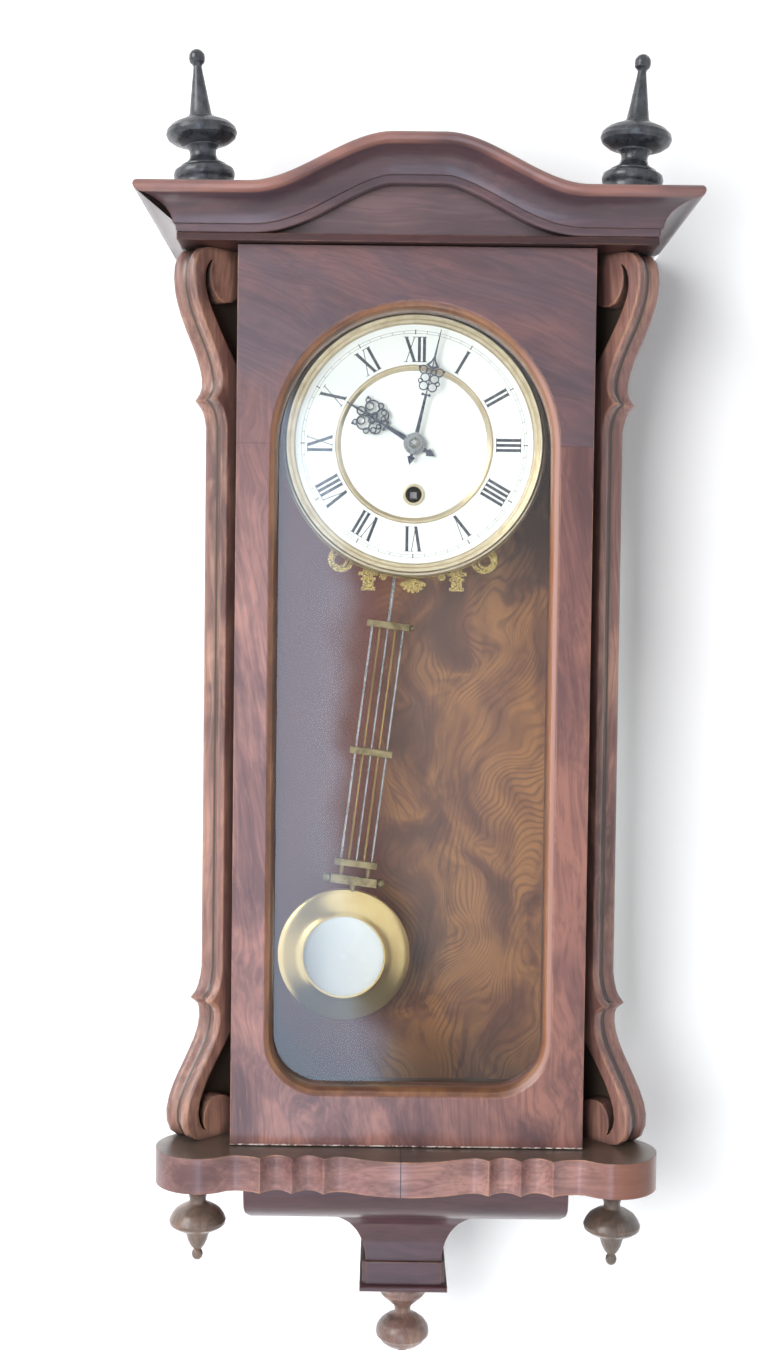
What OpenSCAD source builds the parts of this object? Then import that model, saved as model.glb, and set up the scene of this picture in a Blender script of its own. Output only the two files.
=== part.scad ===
// Wall regulator clock with a glazed arched door, scroll brackets and a gridiron pendulum.
// Millimetres. X is to the right, Y runs into the wall and Z is up. The wall plane is Y = 0.
// The origin is the centre of the hanging hole. Depths (f) are measured forward from the wall.

/* [Case] */
// Door width
door_w = 221; // [200:1:240]
// Door height
door_h = 560; // [520:1:620]
// Door thickness
door_t = 22; // [20:1:26]
// Door top above the dial centre
door_rise = 118.1; // [116:0.1:130]
// Dial centre height from the hanging hole
dial_z = -100.9; // [-120:0.1:-90]
// Depth from the wall to the back of the door
case_d = 150; // [146:1:170]
// Back board thickness
back_t = 12; // [9:1:14]
// Side frame thickness
side_t = 12; // [10:1:14]
// Top board thickness
top_t = 4.5; // [4:0.5:8]
// How far the top board stands past the case side
top_over = 30; // [26:1:34]
// Gap between the door and what is round it
door_gap = 0.8; // [0.8:0.1:2]
// Gap behind the door
door_back_gap = 0.6; // [0.5:0.1:1]

/* [Door opening] */
// Radius of the arched opening
open_r = 85; // [78:0.5:88]
// Opening bottom below the dial centre
open_drop = 400.6; // [370:0.1:420]
// Drop of the arch centre of the opening below the dial centre
open_sink = 5; // [4:0.5:6]
// Radius of the two bottom corners
open_corner_r = 31; // [20:1:40]
// Width of the bevel round the opening
bevel_w = 5.2; // [3:0.2:8]
// Depth of the bevel
bevel_d = 6.5; // [3:0.5:8]
// Glass thickness
glass_t = 3; // [2:0.5:4]
// Width of the glass rebate
rebate_w = 5; // [4:0.5:7]

/* [Side windows] */
// Stile and rail width at the back
side_stile = 20; // [16:1:24]
// Front stile width
side_front = 52; // [46:1:56]
// Height of the top and bottom rails
side_rail = 42; // [34:1:50]

/* [Cornice] */
// Height of the cornice moulding
cornice_h = 27; // [26:1:34]
// Rise of the arch above the flat ends
arch_rise = 30; // [20:1:36]
// Half width where the arch meets the flat
arch_half = 102; // [90:1:110]
// Half width of the crown of the arch
arch_crown = 15.6; // [10:0.2:25]
// Frieze panel thickness
frieze_t = 10; // [8:1:12]
// Depth of the side returns behind the mitre
return_in = 24; // [20:1:26]

/* [Brackets] */
// Bracket board thickness
bracket_t = 21; // [16:1:24]
// Depth of the line where the inner face meets the case side
bracket_f = 142; // [138:1:146]
// Width of the inner face along the straight part
bracket_band = 10.6; // [8:0.2:14]

/* [Base] */
// Plinth height
plinth_h = 22; // [18:1:28]
// Radius of the round plinth lobes
lobe_r = 28; // [24:1:30]
// Depth of the lobe centres
lobe_f = 170; // [166:1:174]
// Distance of the drops from the middle
drop_x = 132.5; // [128:0.5:135]
// Depth of the drops' middle
drop_f = 152; // [146:1:160]
// Distance from the centre line to the lobe centres
lobe_x = 129; // [125:1:134]
// Half width of the tail at its foot
tail_half = 25; // [24:0.5:32]
// Height of the tail block under the plinth
tail_h = 82; // [78:1:92]
// Depth of the tail's front face
tail_f = 128; // [110:1:134]

/* [Dial] */
// Visible dial radius
dial_r = 75.8; // [74:0.1:77]
// Bezel outer radius
bezel_r = 84.5; // [84:0.1:86]
// Front face of the dial enamel from the wall
dial_f = 139; // [138:0.5:139]
// Outer radius of the inner brass ring
ring_r = 50.4; // [48:0.1:53]
// Width of the inner brass ring
ring_w = 3.7; // [3:0.1:5]
// Winding hole below the dial centre
wind_drop = 32; // [31.5:0.5:33]
// Winding hole radius
wind_r = 5.2; // [5:0.1:5.4]
// Minute hand angle, clockwise from twelve
minute_angle = 12.7; // [0:0.1:360]
// Minute hand length
minute_len = 73.2; // [70:0.1:75]
// Hour hand length
hour_len = 50.4; // [48:0.1:53]

/* [Movement] */
// Back face of the back plate from the wall
plate_f = 83; // [82:0.5:83.5]
// Plate thickness
plate_t = 3; // [2.5:0.5:3]
// Distance between the plates
plates_gap = 35; // [35:1:36]
// Half width of the plates
plate_half = 42; // [41:1:46]
// Plates above the dial centre
plate_up = 40; // [40:1:46]
// Plates below the dial centre
plate_down = 68; // [66:1:74]
// Teeth of the great wheel on the barrel
great_n = 80; // [80]
// Leaves of the centre pinion
centre_pin_n = 12; // [12]
// Teeth of the centre wheel
centre_n = 72; // [72]
// Teeth of the third wheel
third_n = 75; // [75]
// Leaves of the third and escape pinions
leaf_n = 8; // [8]
// Teeth of the escape wheel
escape_n = 36; // [36]
// Escape wheel tip radius
escape_r = 11.5; // [11:0.1:11.6]
// Arbor radius
arbor_r = 1.5; // [1.4:0.1:1.6]
// Running clearance on the radius
run = 0.05; // [0.03:0.01:0.08]

/* [Pendulum] */
// Depth of the pendulum's middle from the wall
pend_f = 61; // [60:0.5:62]
// Swing point above the dial centre
pivot_up = 6; // [5:1:8]
// Distance from the swing point to the bob centre
pend_len = 352; // [344:1:358]
// Lean to the left as stored
pend_tilt = 7; // [0:0.5:7.5]
// Bob radius
bob_r = 46; // [42:0.2:47]
// Bob face radius
bob_face_r = 27.6; // [25:0.1:29]
// Rod radius
rod_r = 0.9; // [0.8:0.1:1.2]
// Spacing of the five rods
rod_gap = 5.3; // [4.8:0.1:5.6]

/* [Hardware] */
// Hanging hole radius
hang_r = 5; // [4:0.5:6]
// Hanger plate thickness
hang_t = 2.5; // [2:0.5:3]
// Door pin radius
pin_r = 1.6; // [1.5:0.1:2]

/* [Hidden] */
$fa = 4;
$fs = 0.4;
eps = 0.01;
// Levels of the case
case_half = door_w / 2;
door_top = dial_z + door_rise;
door_bot = door_top - door_h;
door_f = case_d + door_t;
top_z0 = door_top + door_gap;
top_z1 = top_z0 + top_t;
foot_z = door_bot - door_gap;
plinth_z = foot_z - plinth_h;
arch_c = dial_z - open_sink;
open_z = arch_c - open_drop;
top_half = case_half + top_over;
cornice_z1 = top_z1 + cornice_h;
case_front = case_d - door_back_gap;
tail_z = plinth_z - tail_h;
glass_f = case_d + 7;
wind_z = dial_z - wind_drop;
pivot_z = dial_z + pivot_up;
hour_angle = 300 + minute_angle / 12;
// Levels of the movement
plate_b0 = plate_f;
plate_b1 = plate_f + plate_t;
plate_a0 = plate_b1 + plates_gap;
plate_a1 = plate_a0 + plate_t;
dial_back = dial_f - 2;
dial_plate_t = 1.5;
pivot_r = 0.8;
slip = 0.02;
// Wheel sizes; the great wheel and centre pinion span the winding distance
great_m = 2 * wind_drop / (great_n + centre_pin_n);
centre_m = 0.5;
third_m = 0.45;
third_dist = centre_m * (centre_n + leaf_n) / 2;
escape_dist = third_m * (third_n + leaf_n) / 2;
anchor_dist = 17;
anchor_angle = 50;
escape_x = anchor_dist * cos(anchor_angle);
escape_z = pivot_up + anchor_dist * sin(anchor_angle);
escape_c = norm([escape_x, escape_z]);
third_a = atan2(escape_z, escape_x)
  + acos((third_dist^2 + escape_c^2 - escape_dist^2) / (2 * third_dist * escape_c));
third_x = third_dist * cos(third_a);
third_z = third_dist * sin(third_a);
third_esc_a = atan2(escape_z - third_z, escape_x - third_x);
cannon_n = 12;
minute_n = 36;
minute_pin_n = 10;
hour_n = 40;
cannon_m = 0.6;
hour_m = cannon_m * (cannon_n + minute_n) / (minute_pin_n + hour_n);
motion_dist = cannon_m * (cannon_n + minute_n) / 2;
motion_a = 200;
motion_x = motion_dist * cos(motion_a);
motion_z = motion_dist * sin(motion_a);

// Shared drawing helpers

// A point list along a circular arc
function arc(c, r, a0, a1, n) = [for (i = [0:n]) let (a = a0 + (a1 - a0) * i / n)
  [c[0] + r * cos(a), c[1] + r * sin(a)]];
// A point list mirrored left to right, in reverse order
function flipped(p) = [for (i = [len(p) - 1:-1:0]) [-p[i][0], p[i][1]]];
// A list of points with a shift
function shifted(p, d) = [for (q = p) q + d];
// Smooth step from 0 to 1
function smooth(t) = let (c = max(0, min(1, t))) c * c * (3 - 2 * c);

// A box given by its limits across, forward and up
module box(x0, x1, f0, f1, z0, z1) {
  translate([x0, -f1, z0])
    cube([x1 - x0, f1 - f0, z1 - z0]);
}

// A flat piece between two depths, drawn as seen from the front
module slab(f0, f1) {
  translate([0, -f0, 0])
    rotate([90, 0, 0])
      linear_extrude(f1 - f0)
        children();
}

// A piece turned on an axis that points forward; the profile is radius and depth
module turned_forward(x, z) {
  translate([x, 0, z])
    rotate([90, 0, 0])
      rotate_extrude()
        children();
}

// A round bar that points forward
module bar(x, z, f0, f1, r) {
  translate([x, -f0, z])
    rotate([90, 0, 0])
      cylinder(h = f1 - f0, r = r);
}

// A bar with a flat-sided outline, used as a bore where wheels fit
module bore12(r) {
  circle(r = r / cos(15), $fn = 12);
}

// Tooth outline of a wheel or a pinion, with one tooth centred on the phase angle
function teeth(n, m, phase, tip, root, fat) = let (p = 360 / n, r = n * m / 2)
  [for (i = [0:n - 1]) for (k = [
    [root, -fat * 1.12], [0, -fat], [tip * 0.6, -fat * 0.74], [tip, -fat * 0.3],
    [tip, fat * 0.3], [tip * 0.6, fat * 0.74], [0, fat], [root, fat * 1.12]])
    let (a = phase + (i + k[1]) * p, q = r + k[0] * m) [q * cos(a), q * sin(a)]];
function wheel_teeth(n, m, phase) = teeth(n, m, phase, 0.95, -1.2, 0.22);
function pinion_teeth(n, m, phase) = teeth(n, m, phase, 0.7, -1.2, 0.2);
// Phase that puts a driven wheel in mesh with its neighbour
function meshed(a, n, line, n2) = line + 180 + (0.5 - (a - line) * n / 360) * 360 / n2;

centre_phase = 0;
great_phase = meshed(centre_phase, centre_pin_n, 270, great_n);
third_pin_phase = meshed(0, centre_n, third_a, leaf_n);
escape_pin_phase = meshed(0, third_n, third_esc_a, leaf_n);
minute_phase = meshed(0, cannon_n, motion_a, minute_n);
hour_phase = meshed(0, minute_pin_n, motion_a + 180, hour_n);

// Back board and hanger

// Front outline of the tail: square ends, rounded corners and two hollow curves
tail_end_r = 16;
tail_top_half = case_half - 9.4;
tail_step = tail_h * 0.37;
tail_hollow = tail_h * 0.44;
function tail_side(grow) = concat(
  [[tail_top_half, plinth_z]],
  arc([tail_top_half - tail_end_r, plinth_z - tail_step + tail_end_r], tail_end_r, 0, -90, 12),
  arc([tail_half + grow + tail_hollow, plinth_z - tail_step - tail_hollow], tail_hollow, 90, 180, 20),
  [[tail_half + grow, tail_z]]);
tail_outline = concat(tail_side(0), flipped(tail_side(0)));

hang_plate = [44, 26];
hang_screw_x = 15;
nail_r = 9;
nail_deep = 7;
screw_r = 1.5;
screw_head_r = 3;

module back_board() {
  board = concat([[case_half, cornice_z1 - 8]], [[case_half, plinth_z]], tail_side(2.5));
  color("saddlebrown")
    difference() {
      slab(0, back_t)
        polygon(concat(board, flipped(board)));
      translate([-hang_plate[0] / 2, -hang_t, -hang_plate[1] / 2])
        cube([hang_plate[0], hang_t + 1, hang_plate[1]]);
      bar(0, 0, 0, hang_t + nail_deep, nail_r);
      for (x = [-hang_screw_x, hang_screw_x])
        bar(x, 0, 0, back_t - 2, screw_r + run);
    }
}

module hanger_plate() {
  color("silver")
    difference() {
      translate([-hang_plate[0] / 2, -hang_t, -hang_plate[1] / 2])
        cube([hang_plate[0], hang_t, hang_plate[1]]);
      bar(0, 0, -1, hang_t + 1, hang_r);
      for (x = [-hang_screw_x, hang_screw_x]) {
        bar(x, 0, -1, hang_t + 1, screw_r + run);
        turned_forward(x, 0)
          polygon([[0, -eps], [screw_head_r + run, -eps], [screw_r + run, 1.6], [0, 1.6]]);
      }
    }
}

module hanger_screws() {
  color("silver")
    for (x = [-hang_screw_x, hang_screw_x])
      difference() {
        turned_forward(x, 0)
          polygon([[0, 0], [screw_head_r, 0], [screw_r, 1.6], [screw_r, 8], [0, back_t - 2.5]]);
        box(x - 4, x + 4, -1, 0.7, -0.4, 0.4);
      }
}

// Glazed side frames

module side_frame() {
  z0 = foot_z + side_rail;
  z1 = top_z0 - side_rail;
  f0 = back_t + side_stile;
  f1 = case_front - side_front;
  difference() {
    box(case_half - side_t, case_half, back_t, case_front, foot_z, top_z0);
    box(case_half - side_t - 1, case_half + 1, f0, f1, z0, z1);
    box(case_half - side_t - 1, case_half - side_t + 4.5, f0 - 4, f1 + 4, z0 - 4, z1 + 4);
  }
}

module side_glass() {
  z0 = foot_z + side_rail - 4;
  z1 = top_z0 - side_rail + 4;
  f0 = back_t + side_stile - 4;
  f1 = case_front - side_front + 4;
  box(case_half - side_t + 2, case_half - side_t + 4.5, f0 + 0.2, f1 - 0.2, z0 + 0.2, z1 - 0.2);
}

catch_x = case_half - 6;
catch_z = dial_z - 155;
catch_r = 1.9;
catch_room = 1.1;

module side_frame_left() {
  color("sienna")
    difference() {
      mirror([1, 0, 0])
        side_frame();
      bar(-catch_x, catch_z, case_front - 9, case_front + 1, catch_r + catch_room);
    }
}

module side_frame_right() {
  color("sienna")
    side_frame();
}

module side_glass_left() {
  color("lightblue", 0.4)
    mirror([1, 0, 0])
      side_glass();
}

module side_glass_right() {
  color("lightblue", 0.4)
    side_glass();
}

// Top board, frieze and cornice

pin_x = case_half - 3;
pin_f = door_f - 5;
pin_in_door = 10;
board_lip = 7;

module top_board() {
  color("sienna")
    difference() {
      box(-top_half - board_lip, top_half + board_lip, back_t, door_f + board_lip, top_z0, top_z1);
      translate([pin_x, -pin_f, top_z0 - 1])
        cylinder(h = top_t, r = pin_r + slip);
    }
}

// Upper edge of the arched cornice
function arch_z(x) = cornice_z1 + arch_rise * smooth((arch_half - abs(x)) / (arch_half - arch_crown));
function arch_slope(x) = atan((arch_z(x + 0.5) - arch_z(x - 0.5)));
// Cornice section: forward reach and drop from the top edge
cornice_section = [
  [0, 0.4], [27, 0.4], [29, 0.9], [30.3, 2.4], [30.7, 4.4], [30, 6.6], [28.2, 8], [26.6, 8.4],
  [24.2, 8.6], [20.4, 9.9], [16.4, 12], [13, 14.9], [10.8, 18.2], [9.6, 21.4], [9.1, 24.2],
  [7.6, 24.4], [7.4, 28.6], [6.6, 29.7], [5.4, 30], [0, 30]];
section_k = cornice_h / 30;
cornice_top = cornice_z1 - 0.4 * section_k;
// The section is a little thinner over the arch
function arch_k(x) = section_k * (1 - 0.035 * smooth(2 * (arch_z(x) - cornice_z1) / arch_rise));

module frieze_panel() {
  xs = [for (i = [-30:30]) top_half * i / 30];
  color("brown")
    slab(door_f - frieze_t, door_f)
      polygon(concat([[-top_half, top_z1]], [for (x = xs) [x, arch_z(x) - 3]], [[top_half, top_z1]]));
}

module cornice_front() {
  n = len(cornice_section);
  inner = [for (i = [-27:27]) arch_half * 1.06 * i / 27];
  // Each ring is the section set square to the arch; the two end rings are mitred
  ring = function (x) let (a = arch_slope(x), k = arch_k(x)) [for (s = cornice_section)
    [x + s[1] * k * sin(a), -door_f - s[0], arch_z(x) - s[1] * k * cos(a)]];
  side = function (d) [for (s = cornice_section)
    [d * (top_half + s[0]), -door_f - s[0], cornice_z1 - s[1] * section_k]];
  rings = concat([side(-1)], [for (x = inner) ring(x)], [side(1)]);
  m = len(rings);
  pts = [for (r = rings) for (p = r) p];
  body = [for (i = [0:m - 2]) for (j = [0:n - 1]) let (k = (j + 1) % n)
    [i * n + j, i * n + k, (i + 1) * n + k, (i + 1) * n + j]];
  quads = [for (q = body) each [[q[0], q[1], q[2]], [q[0], q[2], q[3]]]];
  color("brown")
    polyhedron(pts, concat(quads, [[for (j = [n - 1:-1:0]) j]], [[for (j = [0:n - 1]) (m - 1) * n + j]]));
}

module cornice_return() {
  reach = door_f + 40;
  section = concat(
    [for (s = cornice_section) [top_half + s[0], cornice_z1 - s[1] * section_k]],
    [[top_half - return_in, top_z1], [top_half - return_in, cornice_top]]);
  difference() {
    slab(0, reach)
      polygon(section);
    translate([0, 0, top_z0 - 20])
      linear_extrude(cornice_h + 60)
        polygon([[top_half - 60, -door_f + frieze_t], [top_half, -door_f + frieze_t],
          [top_half, -door_f], [top_half + 60, -door_f - 60], [top_half - 60, -door_f - 60]]);
  }
}

module cornice_left() {
  color("brown")
    mirror([1, 0, 0])
      cornice_return();
}

module cornice_right() {
  color("brown")
    cornice_return();
}

// Turned finials and drops

finial_f = door_f - 7;
finial_x = top_half - 9;
// The finials stand a little outward and their feet are cut level
finial_lean = 4.1;
finial_cut = 2;
finial_profile = [
  [0, 0], [17.2, 0], [17.6, 2.6], [17.2, 8.4], [17.4, 9.6], [18.5, 11.4], [18.9, 13.8], [18.2, 16.2],
  [16.2, 17.6], [14.6, 18], [14.5, 19], [13.4, 19.6], [12.2, 20.4], [10, 21.8], [8.6, 23.6], [8, 26],
  [8.3, 28.4], [9.4, 30.2], [10.2, 30.8], [10.4, 31.6], [13, 32], [17.6, 33.6], [20.8, 36],
  [21.9, 38.6], [21.2, 41.4], [18.4, 44.2], [13.6, 46.4], [10.6, 47], [9.8, 48.2], [7.6, 49.2],
  [6.9, 51], [5.9, 57], [4.9, 64], [3.9, 71], [3.1, 76], [2.6, 80], [3.2, 81.2], [4.6, 82.6],
  [5, 85], [4.7, 87.4], [3.4, 89.2], [1.7, 90.3], [0, 90.5]];

module finial() {
  foot = 26;
  difference() {
    translate([finial_x, -finial_f, cornice_top])
      rotate([0, finial_lean, 0])
        translate([0, 0, -finial_cut])
          rotate_extrude()
            polygon(finial_profile);
    box(finial_x - foot, finial_x + foot, finial_f - foot, finial_f + foot, cornice_top - 10, cornice_top);
  }
}

module finial_left() {
  color("black")
    mirror([1, 0, 0])
      finial();
}

module finial_right() {
  color("black")
    finial();
}

drop_profile = [
  [0, 0], [13.6, 0], [14, 2.4], [12.4, 4.6], [11.4, 6], [11.4, 8.6], [10, 11], [7.6, 13.2],
  [5.9, 15.6], [5.2, 18.6], [5.6, 20.8], [7.4, 21.9], [10.8, 23.2], [14.6, 25.8], [16.6, 28.6],
  [17, 29.4], [18.1, 31.8], [17.6, 34.2], [14.6, 36.4], [10.4, 37.8], [8.4, 39], [7.2, 41.6],
  [6.2, 45], [4.6, 48.4], [3, 50.4], [2.4, 51.4], [3.3, 52.6], [3.6, 54.4], [3.1, 56.4],
  [1.8, 57.7], [0, 58]];

module drop() {
  translate([drop_x, -drop_f, plinth_z])
    mirror([0, 0, 1])
      rotate_extrude()
        polygon(drop_profile);
}

module drop_left() {
  color("peru")
    mirror([1, 0, 0])
      drop();
}

module drop_right() {
  color("peru")
    drop();
}

// Scroll brackets on the front corners
// Points are the reach out from the case line and the height; upper ones hang from the top board
// and lower ones stand on the plinth

bracket_outer_top = [
  [22, 0], [28, -0.4], [32.6, -2.4], [35.6, -6.4], [37.2, -12], [37.6, -18], [37, -25], [35.2, -32.5],
  [32, -41], [28, -49], [23.6, -57], [19.4, -65], [16.4, -72.5], [14.8, -79], [14.8, -84.5], [16.4, -89],
  [20, -93.4], [16, -96.6], [13.6, -100], [12, -104.5], [11, -110]];
bracket_outer_low = [
  [11, 106], [12, 99.5], [13.6, 94], [15.8, 90.2], [19.6, 87], [14.4, 83.2], [12.8, 79], [12.6, 73.5],
  [13.8, 67.5], [16.6, 60.5], [20.6, 53.5], [25, 46.5], [29.6, 39.5], [33.6, 32.6], [36.8, 25.6],
  [38.6, 18.4], [38.4, 11.4], [36, 5.4], [32, 1.4], [27, 0]];
bracket_inner_low = [
  [0, 0], [0, 19], [3, 22.6], [8, 25.4], [14, 26.4], [18.6, 25.2], [22.5, 21.8], [24.8, 16.6], [25.4, 11.4],
  [24.6, 7.8], [23.4, 5.4], [26, 7.4], [28.4, 11.6], [29.4, 17.4], [28.4, 24.2], [25.4, 32], [21.2, 39.6],
  [16.4, 47], [11.6, 53.6], [7.2, 59.6], [3.4, 65.6], [1, 71], [0, 76]];
bracket_inner_top = [
  [0, -83], [1, -77.6], [3.4, -71.6], [7.2, -65.4], [11.6, -58.8], [16.4, -51.4], [21, -43.6],
  [25.2, -36], [28, -29], [29.4, -22.4], [29.2, -16.6], [27.8, -12], [25.8, -9], [23.2, -7.2],
  [24.8, -10.6], [25.6, -15], [25.2, -20.6], [23, -26.4], [19, -31], [14, -33], [8, -32], [3, -28.8],
  [0, -25], [0, 0]];
// Straight parts get the named band width
outer_shift = bracket_band - 10.6;
bracket_outline = concat(
  [for (p = bracket_outer_top) [p[0] + outer_shift, top_z0 + p[1], 1]],
  [for (p = bracket_outer_low) [p[0] + outer_shift, foot_z + p[1], 1]],
  [for (p = bracket_inner_low) [p[0], foot_z + p[1], p[0] == 0 ? 2 : 0]],
  [for (p = bracket_inner_top) [p[0], top_z0 + p[1], p[0] == 0 ? 2 : 0]]);
// Section of the front edge: two reeds with a hollow between, as distance across and reach
reed_section = [
  [0, 0], [0.04, 0.9], [0.11, 1.5], [0.2, 1.4], [0.27, 0.6], [0.33, -0.8], [0.42, -1.9], [0.5, -2.2],
  [0.58, -1.9], [0.67, -0.8], [0.73, 0.6], [0.8, 1.4], [0.89, 1.5], [0.96, 0.9], [1, 0]];

// The hollows beside the scrolls are sunk, not pierced: a thinner web closes them
web_front = 0.56;
web_back = 1.5;
web_top = [
  [22, -4.5], [26.5, -5.5], [30.4, -10], [32, -16.4], [32.2, -23], [30.8, -30.4], [28, -37.6],
  [23.8, -45.4], [19.2, -53], [14.4, -60.4], [10, -67], [6.2, -73], [3.8, -78.8], [2.4, -85],
  [0, -86], [0, -16], [12, -14]];
web_low = [
  [2.2, 78], [4.4, 71.6], [6.4, 67], [10.2, 61.2], [14.6, 55.2], [19.2, 48.8], [24, 41.4],
  [28.2, 33.4], [31, 25], [32, 17.4], [31.2, 11], [28.6, 6.2], [22, 3.5], [12, 8], [0, 12], [0, 79]];

module web(outline) {
  t0 = bracket_t * web_front;
  t1 = bracket_t - web_back;
  intersection() {
    translate([case_half, -bracket_f, 0])
      rotate([0, 0, -45])
        translate([0, t1, 0])
          rotate([90, 0, 0])
            linear_extrude(t1 - t0)
              polygon([for (p = outline) [p[0] == 0 ? -bracket_t : p[0], p[1]]]);
    box(case_half + 0.05, case_half + 60, back_t, case_d, foot_z, top_z0);
  }
}

module bracket() {
  scroll_board();
  web(shifted(web_top, [0, top_z0]));
  web(shifted(web_low, [0, foot_z]));
}

module scroll_board() {
  n = len(bracket_outline);
  tang = function (i) let (a = bracket_outline[(i + n - 1) % n], b = bracket_outline[(i + 1) % n],
    d = [b[0] - a[0], b[1] - a[1]]) d / max(norm(d), eps);
  // The ends of the reeds die out where they meet the boards above and below
  fade = function (p) let (z = min(top_z0 - p[1], p[1] - foot_z)) min(1, z / 3);
  pts = [for (s = reed_section) let (t = s[0] * bracket_t) for (i = [0:n - 1])
    let (p = bracket_outline[i], d = tang(i), e = p[2] == 1 ? s[1] * fade(p) : 0,
      u = p[2] == 2 ? -t : p[0] - e * d[1], z = p[2] == 1 ? p[1] + e * d[0] : p[1],
      zc = max(foot_z, min(top_z0, z)))
    [case_half + (u + t) * cos(45), -bracket_f - (u - t) * cos(45), zc]];
  m = len(reed_section);
  body = [for (j = [0:m - 2]) for (i = [0:n - 1]) let (k = (i + 1) % n)
    [j * n + i, j * n + k, (j + 1) * n + k, (j + 1) * n + i]];
  quads = [for (q = body) each [[q[0], q[2], q[1]], [q[0], q[3], q[2]]]];
  polyhedron(pts, concat(quads, [[for (i = [0:n - 1]) i]], [[for (i = [n - 1:-1:0]) (m - 1) * n + i]]));
}

module bracket_left() {
  color("brown")
    mirror([1, 0, 0])
      bracket();
}

module bracket_right() {
  color("brown")
    bracket();
}

// Serpentine plinth with round lobes, ridges and a bowed middle

ridge_x = [90, 70.3, 50.7];
ridge_f = door_f + 23;
scoop = 7;
// A hollow curve between two plan points
function hollow(a, b, deep, n) = [for (i = [0:n]) let (t = i / n)
  a + (b - a) * t - [0, deep * 4 * t * (1 - t)]];
plinth_side = concat(
  [[0, ridge_f + 4.6], [8, ridge_f + 4.2], [16, ridge_f + 3], [24, ridge_f + 0.8], [31, ridge_f - 2],
    [37, ridge_f - 4.4], [42, ridge_f - 5.2], [46.5, ridge_f - 3.8]],
  hollow([ridge_x[2], ridge_f], [ridge_x[1], ridge_f], scoop, 10),
  hollow([ridge_x[1], ridge_f], [ridge_x[0], ridge_f], scoop, 10),
  [[ridge_x[0] + 4, ridge_f - 2.6], [ridge_x[0] + 9, ridge_f - 4.2], [ridge_x[0] + 15, ridge_f - 5],
    [ridge_x[0] + 20, ridge_f - 4.2]],
  arc([lobe_x, lobe_f], lobe_r, 118, -40, 40),
  [[lobe_x + 14, lobe_f - 27], [lobe_x + 5, lobe_f - 38], [lobe_x + 1, lobe_f - 50], [lobe_x, back_t]]);

module base_plinth() {
  plan = [for (p = plinth_side) [p[0], -p[1]]];
  color("sienna")
    difference() {
      translate([0, 0, plinth_z])
        linear_extrude(plinth_h)
          polygon(concat(plan, flipped(plan)));
      translate([pin_x, -pin_f, foot_z - 12])
        cylinder(h = 13, r = pin_r + slip);
    }
}

cap_h = 15;
cap_over = 2;
cap_bevel = 2.5;

module tail_block() {
  k = tail_h / 84;
  nose = door_f + 10;
  back = nose - tail_f;
  front = [
    [nose, 0], [nose, -6], [nose - back * 0.03, -13], [nose - back * 0.13, -19.5], [nose - back * 0.3, -25],
    [nose - back * 0.52, -29], [nose - back * 0.7, -32.5], [nose - back * 0.85, -36.5],
    [nose - back * 0.94, -42], [nose - back * 0.985, -48], [tail_f, -55]];
  color("brown") {
    intersection() {
      slab(back_t, nose + 1)
        polygon(tail_outline);
      translate([-case_half, 0, plinth_z])
        rotate([90, 0, 90])
          linear_extrude(2 * case_half)
            polygon(concat([[-back_t, 0]], [for (p = front) [-p[0], p[1] * k]],
              [[-tail_f, -tail_h], [-back_t, -tail_h]]));
    }
  // A wider cap with bevelled corners at the foot
  x = tail_half + cap_over;
  f = tail_f + cap_over;
  translate([0, 0, tail_z])
    linear_extrude(cap_h)
      polygon([[-x, -back_t], [-x, -f + cap_bevel], [-x + cap_bevel, -f], [x - cap_bevel, -f],
        [x, -f + cap_bevel], [x, -back_t]]);
  }
}

plate_over = 3.7;
tail_plate_t = 4;

module tail_plate() {
  x = tail_half + plate_over;
  f = tail_f + plate_over;
  color("brown") {
    box(-x, x, 0, f, tail_z - tail_plate_t, tail_z);
    translate([-x, -f, tail_z - tail_plate_t / 2])
      rotate([0, 90, 0])
        cylinder(h = 2 * x, r = tail_plate_t / 2);
  }
}

tail_finial_f = tail_f - 13;
tail_finial_profile = [
  [0, 0], [15.6, 0], [16, 2], [15, 3.6], [14.6, 5], [14.8, 6.4], [13.6, 8.2], [10.6, 10.6],
  [8.2, 13], [6, 14.6], [5.3, 16.8], [5.4, 19.4], [7, 21], [10.6, 22.6], [14.6, 25.6], [17, 29.2],
  [17.6, 32.6], [17.2, 34.8], [16.2, 35.4], [14, 38.6], [10, 41.6], [6.4, 43.2], [4, 44], [2.8, 45.6],
  [2.4, 48], [3, 50.4], [3.3, 52.6], [2.8, 55], [1.6, 56.6], [0, 57]];

module tail_finial() {
  color("peru")
    translate([0, -tail_finial_f, tail_z - tail_plate_t])
      mirror([0, 0, 1])
        rotate_extrude()
          polygon(tail_finial_profile);
}

// Door

// The arched opening, grown by a margin
module opening(grow) {
  r = open_r + grow;
  c = open_corner_r + grow;
  translate([0, arch_c])
    circle(r = r);
  translate([-r, open_z + open_corner_r])
    square([2 * r, open_drop - open_corner_r]);
  translate([-open_r + open_corner_r, open_z - grow])
    square([2 * (open_r - open_corner_r), open_corner_r + grow + 1]);
  for (d = [-1, 1])
    translate([d * (open_r - open_corner_r), open_z + open_corner_r])
      circle(r = c);
}

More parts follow.
